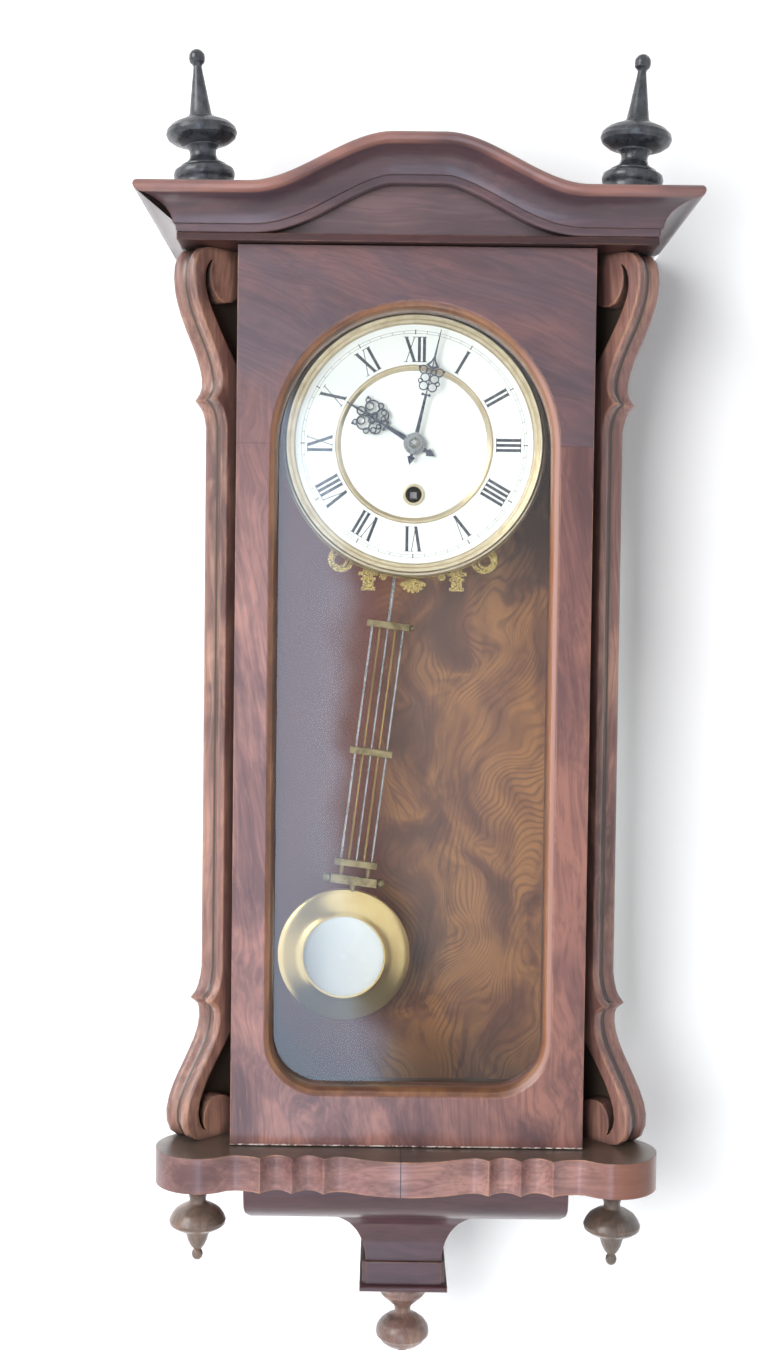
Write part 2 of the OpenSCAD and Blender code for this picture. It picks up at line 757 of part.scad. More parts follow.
// A section carried once round the opening; the section is distance out and depth
module round_opening() {
  low = open_z + open_corner_r;
  in = open_r - open_corner_r;
  translate([0, 0, arch_c])
    rotate([90, 0, 0])
      rotate_extrude(angle = 180)
        translate([open_r, 0])
          children();
  for (d = [0, 1])
    mirror([d, 0, 0]) {
      translate([open_r, 0, low])
        linear_extrude(arch_c - low)
          mirror([0, 1])
            children();
      translate([in, 0, low])
        rotate([90, 0, 0])
          rotate([0, 0, -90])
            rotate_extrude(angle = 90)
              translate([open_corner_r, 0])
                children();
    }
  translate([-in, 0, open_z])
    rotate([90, 0, 90])
      linear_extrude(2 * in)
        mirror([1, 1])
          children();
}

module door_frame() {
  bevel = [[-1, door_f - bevel_d], [0, door_f - bevel_d], [0.7, door_f - bevel_d * 0.55],
    [bevel_w * 0.4, door_f - bevel_d * 0.22], [bevel_w - 0.8, door_f - 0.7], [bevel_w, door_f],
    [bevel_w, door_f + 1], [-1, door_f + 1]];
  color("sienna")
    difference() {
      box(-case_half, case_half, case_d, door_f, door_bot, door_top);
      slab(case_d - 1, door_f + 1)
        opening(0);
      slab(case_d - 1, glass_f + glass_t)
        opening(rebate_w);
      round_opening()
        polygon(bevel);
      translate([pin_x, -pin_f, door_top - pin_in_door - 0.5])
        cylinder(h = pin_in_door + 1, r = pin_r + run);
      translate([pin_x, -pin_f, door_bot - 1])
        cylinder(h = pin_in_door + 1.5, r = pin_r + run);
      bar(-catch_x, catch_z, case_d - 1, case_d + 6, catch_r + slip);
    }
}

module door_glass() {
  color("lightblue", 0.4)
    slab(glass_f, glass_f + glass_t)
      opening(rebate_w - 0.2);
}

module glazing_beads() {
  color("sienna")
    slab(glass_f - 5, glass_f)
      difference() {
        opening(rebate_w - 0.1);
        opening(0.6);
      }
}

module hinge_pins() {
  gap = door_gap - 0.4;
  color("silver") {
    translate([pin_x, -pin_f, door_top - pin_in_door])
      cylinder(h = pin_in_door + door_gap + top_t - 1, r = pin_r);
    translate([pin_x, -pin_f, foot_z - 12])
      cylinder(h = 12 + door_gap + pin_in_door, r = pin_r);
    translate([pin_x, -pin_f, foot_z])
      cylinder(h = gap, r = pin_r + 2);
  }
}

module catch_stud() {
  color("gold")
    turned_forward(-catch_x, catch_z)
      polygon([[0, case_d + 5.5], [catch_r, case_d + 5.5], [catch_r, case_d - 4.2],
        [catch_r * 0.8, case_d - 5.4], [catch_r * 0.4, case_d - 6], [0, case_d - 6.1]]);
}

// Dial

module dial_plate() {
  color("gold")
    difference() {
      union() {
        slab(dial_back - dial_plate_t, dial_back)
          translate([0, dial_z])
            circle(r = bezel_r - 2.8);
        for (p = dial_feet)
          bar(p[0], dial_z + p[1], plate_a1, dial_back - dial_plate_t + eps, 1.8);
      }
      bar(0, dial_z, dial_back - 3, dial_back + 1, hub_hole);
      bar(0, wind_z, dial_back - 3, dial_back + 1, wind_r + 1.2);
    }
}

dial_feet = [[30, 30], [-30, 30], [0, -58]];
hub_hole = 5;
bush_r = wind_r + 1.75;

module dial_ring() {
  color("white")
    slab(dial_back, dial_f)
      translate([0, dial_z])
        difference() {
          circle(r = dial_r + 1.4);
          circle(r = ring_r + slip);
        }
}

module dial_centre() {
  color("white")
    slab(dial_back, dial_f - 0.8)
      translate([0, dial_z])
        difference() {
          circle(r = ring_r - ring_w - slip);
          circle(r = hub_hole);
          translate([0, -wind_drop])
            circle(r = wind_r + 1.2);
        }
}

module dial_inner_ring() {
  a = ring_r - ring_w;
  b = ring_r;
  color("gold")
    turned_forward(0, dial_z)
      polygon([[a, dial_back], [b, dial_back], [b, dial_f + 0.2], [b - ring_w * 0.2, dial_f + 0.9],
        [b - ring_w * 0.45, dial_f + 0.9], [b - ring_w * 0.6, dial_f + 0.3], [a + ring_w * 0.1, dial_f - 0.2],
        [a, dial_f - 0.6]]);
}

module dial_bezel() {
  r = dial_r;
  w = bezel_r - dial_r;
  color("gold")
    turned_forward(0, dial_z)
      polygon([[r + 1.45, dial_back], [r + 1.45, dial_f + 0.05], [r, dial_f + 0.05], [r, dial_f + 1],
        [r + 0.1 * w, dial_f + 1.9], [r + 0.3 * w, dial_f + 2.2], [r + 0.36 * w, dial_f + 3.2],
        [r + 0.42 * w, dial_f + 5.2], [r + 0.5 * w, dial_f + 6.1], [r + 0.6 * w, dial_f + 6.3],
        [r + 0.68 * w, dial_f + 5.7], [r + 0.72 * w, dial_f + 4.9], [r + 0.85 * w, dial_f + 4.7],
        [r + 0.95 * w, dial_f + 3.9], [r + w, dial_f + 2.4], [r + w, dial_back - dial_plate_t],
        [bezel_r - 2.75, dial_back - dial_plate_t], [bezel_r - 2.75, dial_back]]);
}

module winding_bush() {
  color("gold")
    turned_forward(0, wind_z)
      polygon([[wind_r, dial_back - dial_plate_t], [wind_r + 1.15, dial_back - dial_plate_t],
        [wind_r + 1.15, dial_f - 0.8], [bush_r, dial_f - 0.8], [bush_r, dial_f + 0.4],
        [wind_r + 1.1, dial_f + 1.4], [wind_r, dial_f + 1.4]]);
}

// Gilt casting behind the bezel: a band with a shell, two pedestals, two flowers and two scrolls
ornament_f = dial_back - dial_plate_t;
ornament_t = 4;

module ring2d(x, z, r, w) {
  translate([x, z])
    difference() {
      circle(r = r + w / 2);
      circle(r = r - w / 2);
    }
}

module dial_ornament() {
  band_r = bezel_r - 2.8;
  low = -bezel_r;
  color("gold") {
    slab(ornament_f - ornament_t, ornament_f)
      translate([0, dial_z]) {
        difference() {
          circle(r = band_r + 3.4);
          circle(r = band_r - 6);
          translate([-100, -band_r * 0.72])
            square([200, 200]);
        }
        for (d = [-1, 1]) {
          // Pedestals with three mouldings, and flowers beside them
          translate([d * 28.4 - 3.4, low - 7])
            square([6.8, 12]);
          translate([d * 28.4 - 6.2, low + 1])
            square([12.4, 2.4]);
          translate([d * 28.4 - 4.8, low - 2.2])
            square([9.6, 1.8]);
          translate([d * 28.4 - 4.6, low - 8.6])
            square([9.2, 2.2]);
          translate([d * 18.8, low + 0.4])
            circle(r = 2.4);
          // Scrolls at the ends
          ring2d(d * 45.8, low * 0.866, 7.2, 2.6);
          ring2d(d * 46.6, low * 0.866 - 0.6, 4.3, 1.6);
        }
      }
    // Shell of seven ribs in the middle, in front of the band
    slab(ornament_f - ornament_t, ornament_f + 1)
      translate([0.5, dial_z + low - 1])
        for (i = [-3:3])
          rotate(i * 21)
            polygon([[-0.5, 0], [0.5, 0], [1.3, -7.6], [0.8, -9], [-0.8, -9], [-1.3, -7.6]]);
    slab(ornament_f - ornament_t, ornament_f - 0.01)
      translate([0.5, dial_z + low + 1])
        circle(r = 4.4);
  }
}

// Hands

hour_pipe_r = 4;
cannon_pipe_r = 3;
hour_hand_f = dial_f + 3.4;
minute_hand_f = dial_f + 7.6;
hand_t = 0.9;

module hour_hand() {
  color("midnightblue")
    slab(hour_hand_f, hour_hand_f + hand_t)
      translate([0, dial_z])
        rotate(-hour_angle)
          scale([1, 1] * hour_len / 51.6)
            difference() {
              union() {
                circle(r = 7.1);
                polygon([[-1.8, 6], [1.8, 6], [1, 22.5], [-1, 22.5]]);
                translate([0, 32])
                  square([0.9, 24], center = true);
                ring2d(0, 40.6, 2.6, 0.85);
                for (d = [-1, 1]) {
                  translate([d * 2.4, 21.8])
                    circle(r = 1.1);
                  translate([d * 0.9, 21.8])
                    square([3, 1.1], center = true);
                  ring2d(d * 4.6, 27.2, 4, 0.85);
                  ring2d(d * 5.6, 35.4, 4.6, 0.85);
                  ring2d(d * 2, 31.4, 1.9, 0.8);
                  ring2d(d * 6.6, 27.2, 1.7, 0.8);
                  ring2d(d * 3, 25.6, 1.4, 0.8);
                  ring2d(d * 5.4, 37.3, 2.4, 0.8);
                  ring2d(d * 9.4, 31.2, 1.7, 0.8);
                  ring2d(d * 8.2, 40.1, 1.6, 0.8);
                  translate([d * 9.7, 41.2])
                    circle(r = 0.9);
                  translate([d * 3.6, 31.2])
                    circle(r = 1);
                }
                polygon([[-0.9, 42.6], [0.9, 42.6], [0.3, 51.6], [-0.3, 51.6]]);
                polygon([[-1.6, -6], [1.6, -6], [1, -9.6], [2.8, -10.4], [0, -15.6], [-2.8, -10.4],
                  [-1, -9.6]]);
              }
              circle(r = (hour_pipe_r + slip) * 51.6 / hour_len);
            }
}

module minute_hand() {
  color("midnightblue")
    slab(minute_hand_f, minute_hand_f + hand_t)
      translate([0, dial_z])
        rotate(-minute_angle)
          scale([1, 1] * minute_len / 74.7)
            difference() {
              union() {
                circle(r = 5.2);
                polygon([[-1.3, 4], [1.3, 4], [0.8, 31.6], [-0.8, 31.6]]);
                translate([0, 43])
                  square([0.8, 25], center = true);
                for (d = [-1, 1]) {
                  translate([d * 2.2, 31.8])
                    circle(r = 0.9);
                  translate([d * 0.8, 31.8])
                    square([2.8, 0.9], center = true);
                  ring2d(d * 2.9, 37.2, 2.7, 0.75);
                  ring2d(d * 3.1, 42.6, 2.7, 0.75);
                  ring2d(d * 5.2, 47.4, 2.5, 0.75);
                  ring2d(d * 1.8, 46.9, 1.6, 0.7);
                  ring2d(d * 5.6, 40, 1.3, 0.7);
                  translate([d * 7.9, 48.6])
                    circle(r = 0.9);
                }
                difference() {
                  polygon([[0, 48.6], [4.4, 50.6], [1.6, 54], [0, 58.6], [-1.6, 54], [-4.4, 50.6]]);
                  polygon([[0, 50], [2.3, 51], [0.8, 53.2], [0, 55.6], [-0.8, 53.2], [-2.3, 51]]);
                }
                polygon([[-0.7, 56], [0.7, 56], [0.25, 74.7], [-0.25, 74.7]]);
                polygon([[-1.4, -4], [1.4, -4], [0.9, -8.6], [2.6, -9.4], [0, -14.6], [-2.6, -9.4],
                  [-0.9, -8.6]]);
              }
              circle(r = (arbor_r + slip) * 74.7 / minute_len);
            }
}

nut_f = minute_hand_f + hand_t;

module hand_nut() {
  color("gold")
    turned_forward(0, dial_z)
      polygon([[arbor_r + slip, nut_f], [3.4, nut_f], [3.6, nut_f + 0.5], [3.2, nut_f + 1.2],
        [2.4, nut_f + 2], [2.2, nut_f + 2.4], [arbor_r + slip, nut_f + 2.6]]);
}

// Movement plates

pillar_at = [[36, 32], [-36, 32], [36, -60], [-36, -60]];
pillar_r = 3.4;
nut_r = 3;
great_f = plate_b1 + 3;
drum_f0 = great_f + 3.4;
drum_f1 = plate_a0 - 6.5;
centre_f = plate_a0 - 4;
third_f = plate_b1 + 11;
escape_f = plate_f - 5.6;
cock_f0 = plate_f - 14;
cock_f1 = cock_f0 + 2.5;
motion_f = plate_a1 + 2;
hour_wheel_f = motion_f + 3.4;

module plate_outline() {
  translate([-plate_half, dial_z - plate_down])
    square([2 * plate_half, plate_up + plate_down]);
}

module plate_holes(f0, f1, back) {
  bar(0, dial_z, f0, f1, back ? pivot_r + run : arbor_r + run);
  bar(0, wind_z, f0, f1, 3 + run);
  bar(third_x, dial_z + third_z, f0, f1, pivot_r + run);
  for (p = pillar_at)
    bar(p[0], dial_z + p[1], f0, f1, screw_r + slip);
}

module front_plate() {
  color("gold")
    difference() {
      slab(plate_a0, plate_a1)
        plate_outline();
      plate_holes(plate_a0 - 1, plate_a1 + 1, false);
      bar(escape_x, dial_z + escape_z, plate_a0 - 1, plate_a1 + 1, pivot_r + run);
      bar(click_x, dial_z + click_z, plate_a0 - 1, plate_a1 + 1, 1.5 + slip);
      bar(motion_x, dial_z + motion_z, plate_a0 - 1, plate_a1 + 1, pivot_r + run);
    }
}

module back_plate() {
  color("gold")
    difference() {
      slab(plate_b0, plate_b1)
        plate_outline();
      plate_holes(plate_b0 - 1, plate_b1 + 1, true);
      bar(escape_x, dial_z + escape_z, plate_b0 - 1, plate_b1 + 1, 2.6);
      bar(0, pivot_z, plate_b0 - 1, plate_b1 + 1, pivot_r + run);
    }
}

module pillars() {
  color("gold")
    for (p = pillar_at)
      turned_forward(p[0], dial_z + p[1])
        polygon([[0, plate_b0], [screw_r, plate_b0], [screw_r, plate_b1], [pillar_r, plate_b1],
          [pillar_r, plate_b1 + 4], [pillar_r - 0.9, plate_b1 + 6], [pillar_r - 0.9, plate_a0 - 6],
          [pillar_r, plate_a0 - 4], [pillar_r, plate_a0], [screw_r, plate_a0], [screw_r, plate_a1 + 3],
          [0, plate_a1 + 3]]);
}

module plate_nuts() {
  color("silver")
    for (p = pillar_at)
      slab(plate_a1, plate_a1 + 2.4)
        translate([p[0], dial_z + p[1]])
          difference() {
            circle(r = nut_r, $fn = 6);
            circle(r = screw_r + slip);
          }
}

module movement_bracket() {
  color("dimgray") {
    box(-44, 44, back_t, back_t + 3, dial_z - 12, dial_z + 28);
    for (d = [-1, 1])
      box(d * 40 - 2, d * 40 + 2, back_t + 3, plate_f, dial_z - 12, dial_z + 12);
  }
}

// Wheels between the plates

// A wheel rim with five crossings, flat sided
module crossed_wheel(p, rim, hub, spokes) {
  difference() {
    polygon(p);
    difference() {
      circle(r = rim, $fn = 40);
      circle(r = hub, $fn = 12);
      for (i = [0:spokes - 1])
        rotate(i * 360 / spokes)
          translate([-0.9, 0])
            square([1.8, rim + 1]);
    }
    bore12(arbor_r + slip);
  }
}

// An arbor with thinner pivots at both ends
module arbor(x, z, f0, f1, back, front) {
  bar(x, z, f0, f1, arbor_r);
  bar(x, z, f0 - back, f0 + eps, pivot_r);
  if (front > 0)
    bar(x, z, f1 - eps, f1 + front, pivot_r);
}

module barrel() {
  great_r = great_n * great_m / 2;
  drum_r = great_r - 3.5;
  color("gold")
    translate([0, 0, wind_z]) {
      slab(great_f, great_f + 3)
        difference() {
          polygon(wheel_teeth(great_n, great_m, great_phase));
          bore12(3 + run);
        }
      difference() {
        turned_forward(0, 0)
          polygon([[3 + run, great_f + 3], [drum_r, great_f + 3], [drum_r, drum_f1],
            [drum_r - 1.4, drum_f1], [drum_r - 1.4, drum_f1 - 1], [4.4, drum_f1 - 1], [4.4, drum_f1 + 0.6],
            [3 + run, drum_f1 + 0.6]]);
        turned_forward(0, 0)
          polygon([[7, great_f + 5], [drum_r - 1.6, great_f + 5], [drum_r - 1.6, drum_f1 - 2.4],
            [7, drum_f1 - 2.4]]);
      }
    }
}

ratchet_n = 24;
ratchet_r = 11;
ratchet_f = plate_a1 + 0.8;
click_x = -15.5;
click_z = 11.25 - wind_drop;
square_w = 4.2;

module winding_arbor() {
  tip = ratchet_r;
  pts = [for (i = [0:ratchet_n - 1]) each [
    [tip * cos(i * 15), tip * sin(i * 15)], [(tip - 1.6) * cos(i * 15 + 1), (tip - 1.6) * sin(i * 15 + 1)]]];
  color("silver")
    translate([0, 0, wind_z]) {
      bar(0, 0, plate_b0, plate_a1 + 0.6, 3);
      slab(ratchet_f, ratchet_f + 2)
        polygon(pts);
      slab(ratchet_f + 2, dial_back - dial_plate_t - 0.7)
        square([square_w, square_w], center = true);
      slab(plate_a1 + 0.6, ratchet_f)
        circle(r = 3, $fn = 24);
    }
}

// The click stands just clear of the ratchet teeth
module click() {
  color("silver") {
    slab(ratchet_f, ratchet_f + 2)
      translate([click_x, dial_z + click_z])
        difference() {
          polygon([[-2.6, 1.6], [-1.4, 2.8], [1, 2.8], [6.6, -0.6], [8.4, -3.4], [6.4, -3.2], [3.4, -2.6],
            [0, -2.8], [-2.2, -1.6]]);
          bore12(1.5 + slip);
        }
    bar(click_x, dial_z + click_z, plate_a0, ratchet_f + 3, 1.5);
    slab(ratchet_f + 2.05, ratchet_f + 3)
      translate([click_x, dial_z + click_z])
        difference() {
          circle(r = 2.4, $fn = 24);
          bore12(1.5 + slip);
        }
  }
}

module click_spring() {
  color("silver")
    slab(plate_a1, ratchet_f + 0.8)
      translate([click_x, dial_z + click_z]) {
        polygon([[-8, -14], [-4.6, -14], [-4.6, -9], [-8, -9]]);
        polygon([[-7.4, -9], [-6.6, -9], [-6.2, 1], [-4.4, 4.6], [-0.6, 5.6], [-0.6, 6.2], [-4.8, 5.4],
          [-7, 1.2]]);
      }
}

module centre_wheel() {
  color("gold")
    translate([0, 0, dial_z]) {
      slab(centre_f, centre_f + 1.6)
        crossed_wheel(wheel_teeth(centre_n, centre_m, 0), centre_n * centre_m / 2 - 2.6, 4, 5);
      slab(great_f - 0.8, great_f + 3.4)
        difference() {
          polygon(pinion_teeth(centre_pin_n, great_m, 0));
          bore12(arbor_r + slip);
        }
      arbor(0, 0, plate_b1 + 0.2, minute_hand_f + hand_t + 3.4, plate_t, 0);
    }
}

module third_wheel() {
  color("gold")
    translate([third_x, 0, dial_z + third_z]) {
      slab(third_f, third_f + 1.4)
        crossed_wheel(wheel_teeth(third_n, third_m, 0), third_n * third_m / 2 - 2.4, 3.6, 5);
      slab(centre_f - 1.4, centre_f + 3)
        polygon(pinion_teeth(leaf_n, centre_m, third_pin_phase));
      bar(0, 0, plate_b1 + 0.2, third_f + 1.4, arbor_r);
      bar(0, 0, third_f + 1.4, centre_f - 1.4, arbor_r);
      bar(0, 0, plate_b0 + 0.4, plate_b1 + 0.21, pivot_r);
      bar(0, 0, centre_f + 3, plate_a1 - 0.4, pivot_r);
    }
}

// Pointed, leaning teeth of the escape wheel
escape_teeth = [for (i = [0:escape_n - 1]) let (p = 360 / escape_n) each [
  [escape_r * cos(i * p), escape_r * sin(i * p)],
  [escape_r * cos(i * p + 0.8), escape_r * sin(i * p + 0.8)],
  [(escape_r - 1.9) * cos(i * p + 3.4), (escape_r - 1.9) * sin(i * p + 3.4)],
  [(escape_r - 1.9) * cos(i * p + 7), (escape_r - 1.9) * sin(i * p + 7)]]];

module escape_wheel() {
  color("gold")
    translate([escape_x, 0, dial_z + escape_z]) {
      slab(escape_f, escape_f + 1.4)
        crossed_wheel(escape_teeth, escape_r - 3.4, 3.2, 4);
      slab(third_f - 1.4, third_f + 3)
        polygon(pinion_teeth(leaf_n, third_m, escape_pin_phase));
      bar(0, 0, cock_f1 + 0.3, third_f - 1.4, arbor_r - 0.1);
      bar(0, 0, third_f + 3, plate_a0 - 0.2, arbor_r - 0.1);
      bar(0, 0, cock_f0 + 0.3, cock_f1 + 0.31, pivot_r);
      bar(0, 0, plate_a0 - 0.21, plate_a1 - 0.4, pivot_r);
    }
}

// Motion work behind the dial

module cannon_pinion() {
  color("silver")
    translate([0, 0, dial_z]) {
      slab(motion_f - 1.2, motion_f + 2.4)
        difference() {
          polygon(pinion_teeth(cannon_n, cannon_m, 0));
          bore12(arbor_r + slip);
        }
      turned_forward(0, 0)
        polygon([[arbor_r + slip, motion_f + 2.4], [cannon_pipe_r, motion_f + 2.4],
          [cannon_pipe_r, minute_hand_f], [arbor_r + slip, minute_hand_f]]);
    }
}

module minute_wheel() {
  color("gold")
    translate([motion_x, 0, dial_z + motion_z]) {
      slab(motion_f, motion_f + 1.4)
        difference() {
          polygon(wheel_teeth(minute_n, cannon_m, minute_phase));
          bore12(pivot_r + slip);
        }
      slab(motion_f + 1.4, motion_f + 5.6)
        difference() {
          polygon(pinion_teeth(minute_pin_n, hour_m, 0));
          bore12(pivot_r + slip);
        }
      bar(0, 0, plate_a0 + 0.4, motion_f + 6.4, pivot_r);
    }
}

module hour_wheel() {
  color("gold")
    translate([0, 0, dial_z]) {
      slab(hour_wheel_f, hour_wheel_f + 1.4)
        difference() {
          polygon(wheel_teeth(hour_n, hour_m, hour_phase));
          bore12(cannon_pipe_r + run);
        }
      turned_forward(0, 0)
        polygon([[cannon_pipe_r + run, hour_wheel_f + 1.4], [hour_pipe_r, hour_wheel_f + 1.4],
          [hour_pipe_r, hour_hand_f + hand_t + 0.6], [cannon_pipe_r + run, hour_hand_f + hand_t + 0.6]]);
    }
}

// Cock behind the back plate that carries the escapement and the pendulum

cock_post = [[-21, 14], [31, 28]];

module back_cock() {
  color("gold")
    difference() {
      union() {
        slab(cock_f0, cock_f1)
          translate([0, dial_z + pivot_up - 10])
            polygon([[-25, 10], [-25, 18], [-5, 33], [29, 35], [35, 30], [35, 24], [16, 13], [5, 5],
              [-5, 5], [-16, 9]]);
        for (p = cock_post)
          bar(p[0], dial_z + pivot_up - 10 + p[1], cock_f1 - eps, plate_f, 3);
        box(-4, 4, pend_f - 3.6, cock_f0 + eps, pivot_z + 6, pivot_z + 20);
      }
      bar(0, pivot_z, cock_f0 - 1, cock_f1 + 1, pivot_r + run);
      bar(escape_x, dial_z + escape_z, cock_f0 - 1, cock_f1 + 1, pivot_r + run);
      box(-leaf_t / 2 - slip, leaf_t / 2 + slip, pend_f - 5, pend_f + 3.1, pivot_z + 5, pivot_z + 14.1);
    }
}

// Everything that leans with the pendulum is drawn upright and then turned about the swing line
module leaning() {
  translate([0, 0, pivot_z])
    rotate([0, pend_tilt, 0])
      children();
}

anchor_side = [[3, 2.6], [3.2, 8.5], [6, 10.8], [7.6, 10.6], [9.2, 11.6], [7.4, 14.2], [1.6, 13.6], [-2.2, 6],
  [-3, 2.6]];
crutch_len = 46;

module anchor() {
  color("silver")
    leaning() {
      slab(escape_f - 0.5, escape_f + 2)
        rotate(anchor_angle)
          union() {
            circle(r = 4);
            polygon(anchor_side);
            mirror([0, 1])
              polygon(anchor_side);
          }
      bar(0, 0, cock_f1 + 0.3, plate_f - 0.3, 1.3);
      bar(0, 0, cock_f0 + 0.3, cock_f1 + 0.31, pivot_r);
      bar(0, 0, plate_f - 0.31, plate_f + plate_t - 0.4, pivot_r);
      slab(cock_f1 + 1.6, cock_f1 + 3)
        union() {
          circle(r = 3.2);
          translate([-1.4, -crutch_len])
            square([2.8, crutch_len]);
        }
      box(-3.6, 3.6, cock_f1 - 1, cock_f1 + 3, -crutch_len - 4, -crutch_len);
      for (d = [-1, 1])
        box(d * 2.7 - 0.9, d * 2.7 + 0.9, pend_f - 3, cock_f1 - 1 + eps, -crutch_len - 4, -crutch_len);
    }
}

leaf_t = 0.3;
leaf_low = 9;

module suspension_spring() {
  s = sin(pend_tilt);
  c = cos(pend_tilt);
  h = leaf_t / 2;
  color("silver")
    slab(pend_f - 3, pend_f + 3)
      translate([0, pivot_z])
        polygon([[-h, 14], [h, 14], [h, 0.4], [h * c - leaf_low * s, -leaf_low * c - h * s],
          [-h * c - leaf_low * s, -leaf_low * c + h * s], [-h, -0.4]]);
}

// Pendulum

yoke_z = pend_len - bob_r - 5.8;
bar_low = yoke_z - 11.8;
bar_mid = yoke_z - 89.5;
bar_top = yoke_z - 177.6;
bob_pin_r = 2;
bob_pin_in = 6;
bar_w = 29.2;
bar_t = 4.5;
bar_deep = 5;
knob_x = 18.4;

module rod(x, z0, z1, r) {
  translate([x, -pend_f, z0])
    cylinder(h = z1 - z0, r = r);
}

module pendulum_steel_rods() {
  color("silver")
    leaning() {
      difference() {
        box(-3, 3, pend_f - 3.6, pend_f + 3.6, -13, -5);
        box(-leaf_t / 2 - slip, leaf_t / 2 + slip, pend_f - 3.1, pend_f + 3.1, -leaf_low - 0.05, -4);
      }
      rod(0, -bar_top + bar_t / 2, -13, rod_r + 0.3);
      for (i = [-2, 0, 2])
        rod(i * rod_gap, -bar_low + bar_t / 2, -bar_top - bar_t / 2, rod_r);
    }
}

module pendulum_brass_rods() {
  color("gold")
    leaning()
      for (i = [-1, 1])
        rod(i * rod_gap, -bar_low + bar_t / 2, -bar_top - bar_t / 2, rod_r);
}

module crossbar(z) {
  box(-bar_w / 2, bar_w / 2, pend_f - bar_deep / 2, pend_f + bar_deep / 2, -z - bar_t / 2, -z + bar_t / 2);
}

module pendulum_crossbars() {
  color("gold")
    leaning() {
      crossbar(bar_top);
      // Small knob at the right end of the top bar
      translate([bar_w / 2 + 1.4, -pend_f, -bar_top])
        sphere(r = 2);
      difference() {
        crossbar(bar_mid);
        for (i = [-2:2])
          rod(i * rod_gap, -bar_mid - 5, -bar_mid + 5, rod_r + slip);
      }
      crossbar(bar_low);
      // Posts and yoke that carry the bob
      for (d = [-1, 1])
        rod(d * 9, -yoke_z + 2, -bar_low - bar_t / 2 + eps, 1.5);
      box(-knob_x + 2.4, knob_x - 2.4, pend_f - 3, pend_f + 3, -yoke_z - 3, -yoke_z + 3);
      for (d = [-1, 1])
        translate([d * knob_x, -pend_f, -yoke_z])
          sphere(r = 3.3);
      rod(0, -pend_len + bob_r - bob_pin_in, -yoke_z - 3 + eps, bob_pin_r);
    }
}

module bob_shell() {
  r = bob_r;
  a = bob_face_r;
  color("gold")
    leaning()
      difference() {
        translate([0, -pend_f, -pend_len])
          rotate([90, 0, 0])
            rotate_extrude()
              polygon([[0, -7], [r * 0.6, -6.6], [r * 0.86, -4.4], [r - 1.2, -2.2], [r - 0.4, -1],
              [r - 0.4, 0.2],
                [r - 1, 1.6], [r - 2.8, 2.6], [r - 5, 3.2], [a + (r - a) * 0.5, 4.6],
                [a + (r - a) * 0.22, 6.6], [a + 1.8, 8.2], [a + 1, 8.8], [a + 0.05, 8.6],
                [a + 0.05, 6.4], [0, 6.4]]);
        rod(0, -pend_len + bob_r - bob_pin_in - 0.1, -pend_len + bob_r + 1, bob_pin_r + slip);
      }
}

module bob_face() {
  color("white")
    leaning()
      translate([0, -pend_f, -pend_len])
        rotate([90, 0, 0])
          rotate_extrude()
            polygon([[0, 6.45], [bob_face_r, 6.45], [bob_face_r, 7.4], [bob_face_r - 1, 7.9],
              [bob_face_r * 0.6, 8.4], [0, 8.7]]);
}

// Nodes

back_board();
hanger_plate();
hanger_screws();
side_frame_left();
side_frame_right();
side_glass_left();
side_glass_right();
top_board();
frieze_panel();
cornice_front();
cornice_left();
cornice_right();
finial_left();
finial_right();
bracket_left();
bracket_right();
base_plinth();
drop_left();
drop_right();
tail_block();
tail_plate();
tail_finial();
door_frame();
door_glass();
glazing_beads();
hinge_pins();
catch_stud();
movement_bracket();
front_plate();
back_plate();
pillars();
plate_nuts();
dial_plate();
dial_ring();
dial_centre();
dial_inner_ring();
dial_bezel();
winding_bush();
dial_ornament();
hour_hand();
minute_hand();
hand_nut();
cannon_pinion();
minute_wheel();
hour_wheel();
centre_wheel();
third_wheel();
escape_wheel();
barrel();
winding_arbor();
click();
click_spring();
back_cock();
anchor();
suspension_spring();
pendulum_steel_rods();
pendulum_brass_rods();
pendulum_crossbars();
bob_shell();
bob_face();
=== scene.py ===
import math

import bmesh
import bpy
from mathutils import Matrix, Quaternion, Vector


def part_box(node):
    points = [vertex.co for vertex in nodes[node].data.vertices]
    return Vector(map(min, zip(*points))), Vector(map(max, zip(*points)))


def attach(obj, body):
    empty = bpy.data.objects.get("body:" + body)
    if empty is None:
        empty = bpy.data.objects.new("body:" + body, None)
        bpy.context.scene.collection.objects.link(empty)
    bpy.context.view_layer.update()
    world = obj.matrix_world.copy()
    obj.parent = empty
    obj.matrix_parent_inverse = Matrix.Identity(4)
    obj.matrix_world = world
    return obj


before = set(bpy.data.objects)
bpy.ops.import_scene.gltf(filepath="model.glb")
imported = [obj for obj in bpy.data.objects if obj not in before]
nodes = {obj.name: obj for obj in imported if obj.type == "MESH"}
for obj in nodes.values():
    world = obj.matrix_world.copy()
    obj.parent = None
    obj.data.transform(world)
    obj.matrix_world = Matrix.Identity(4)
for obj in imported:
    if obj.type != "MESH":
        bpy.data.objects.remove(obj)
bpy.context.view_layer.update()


# Shader tools
# Short names for the nodes that every material below is made of. Lengths are in metres, and a
# pattern's scale is in cycles per metre.

def fill(tree, inputs, values):
    """Sets a node's inputs, given by name or number, to values or to other nodes' sockets."""
    for key, value in values.items():
        if isinstance(value, bpy.types.NodeSocket):
            tree.links.new(value, inputs[key])
        else:
            inputs[key].default_value = value


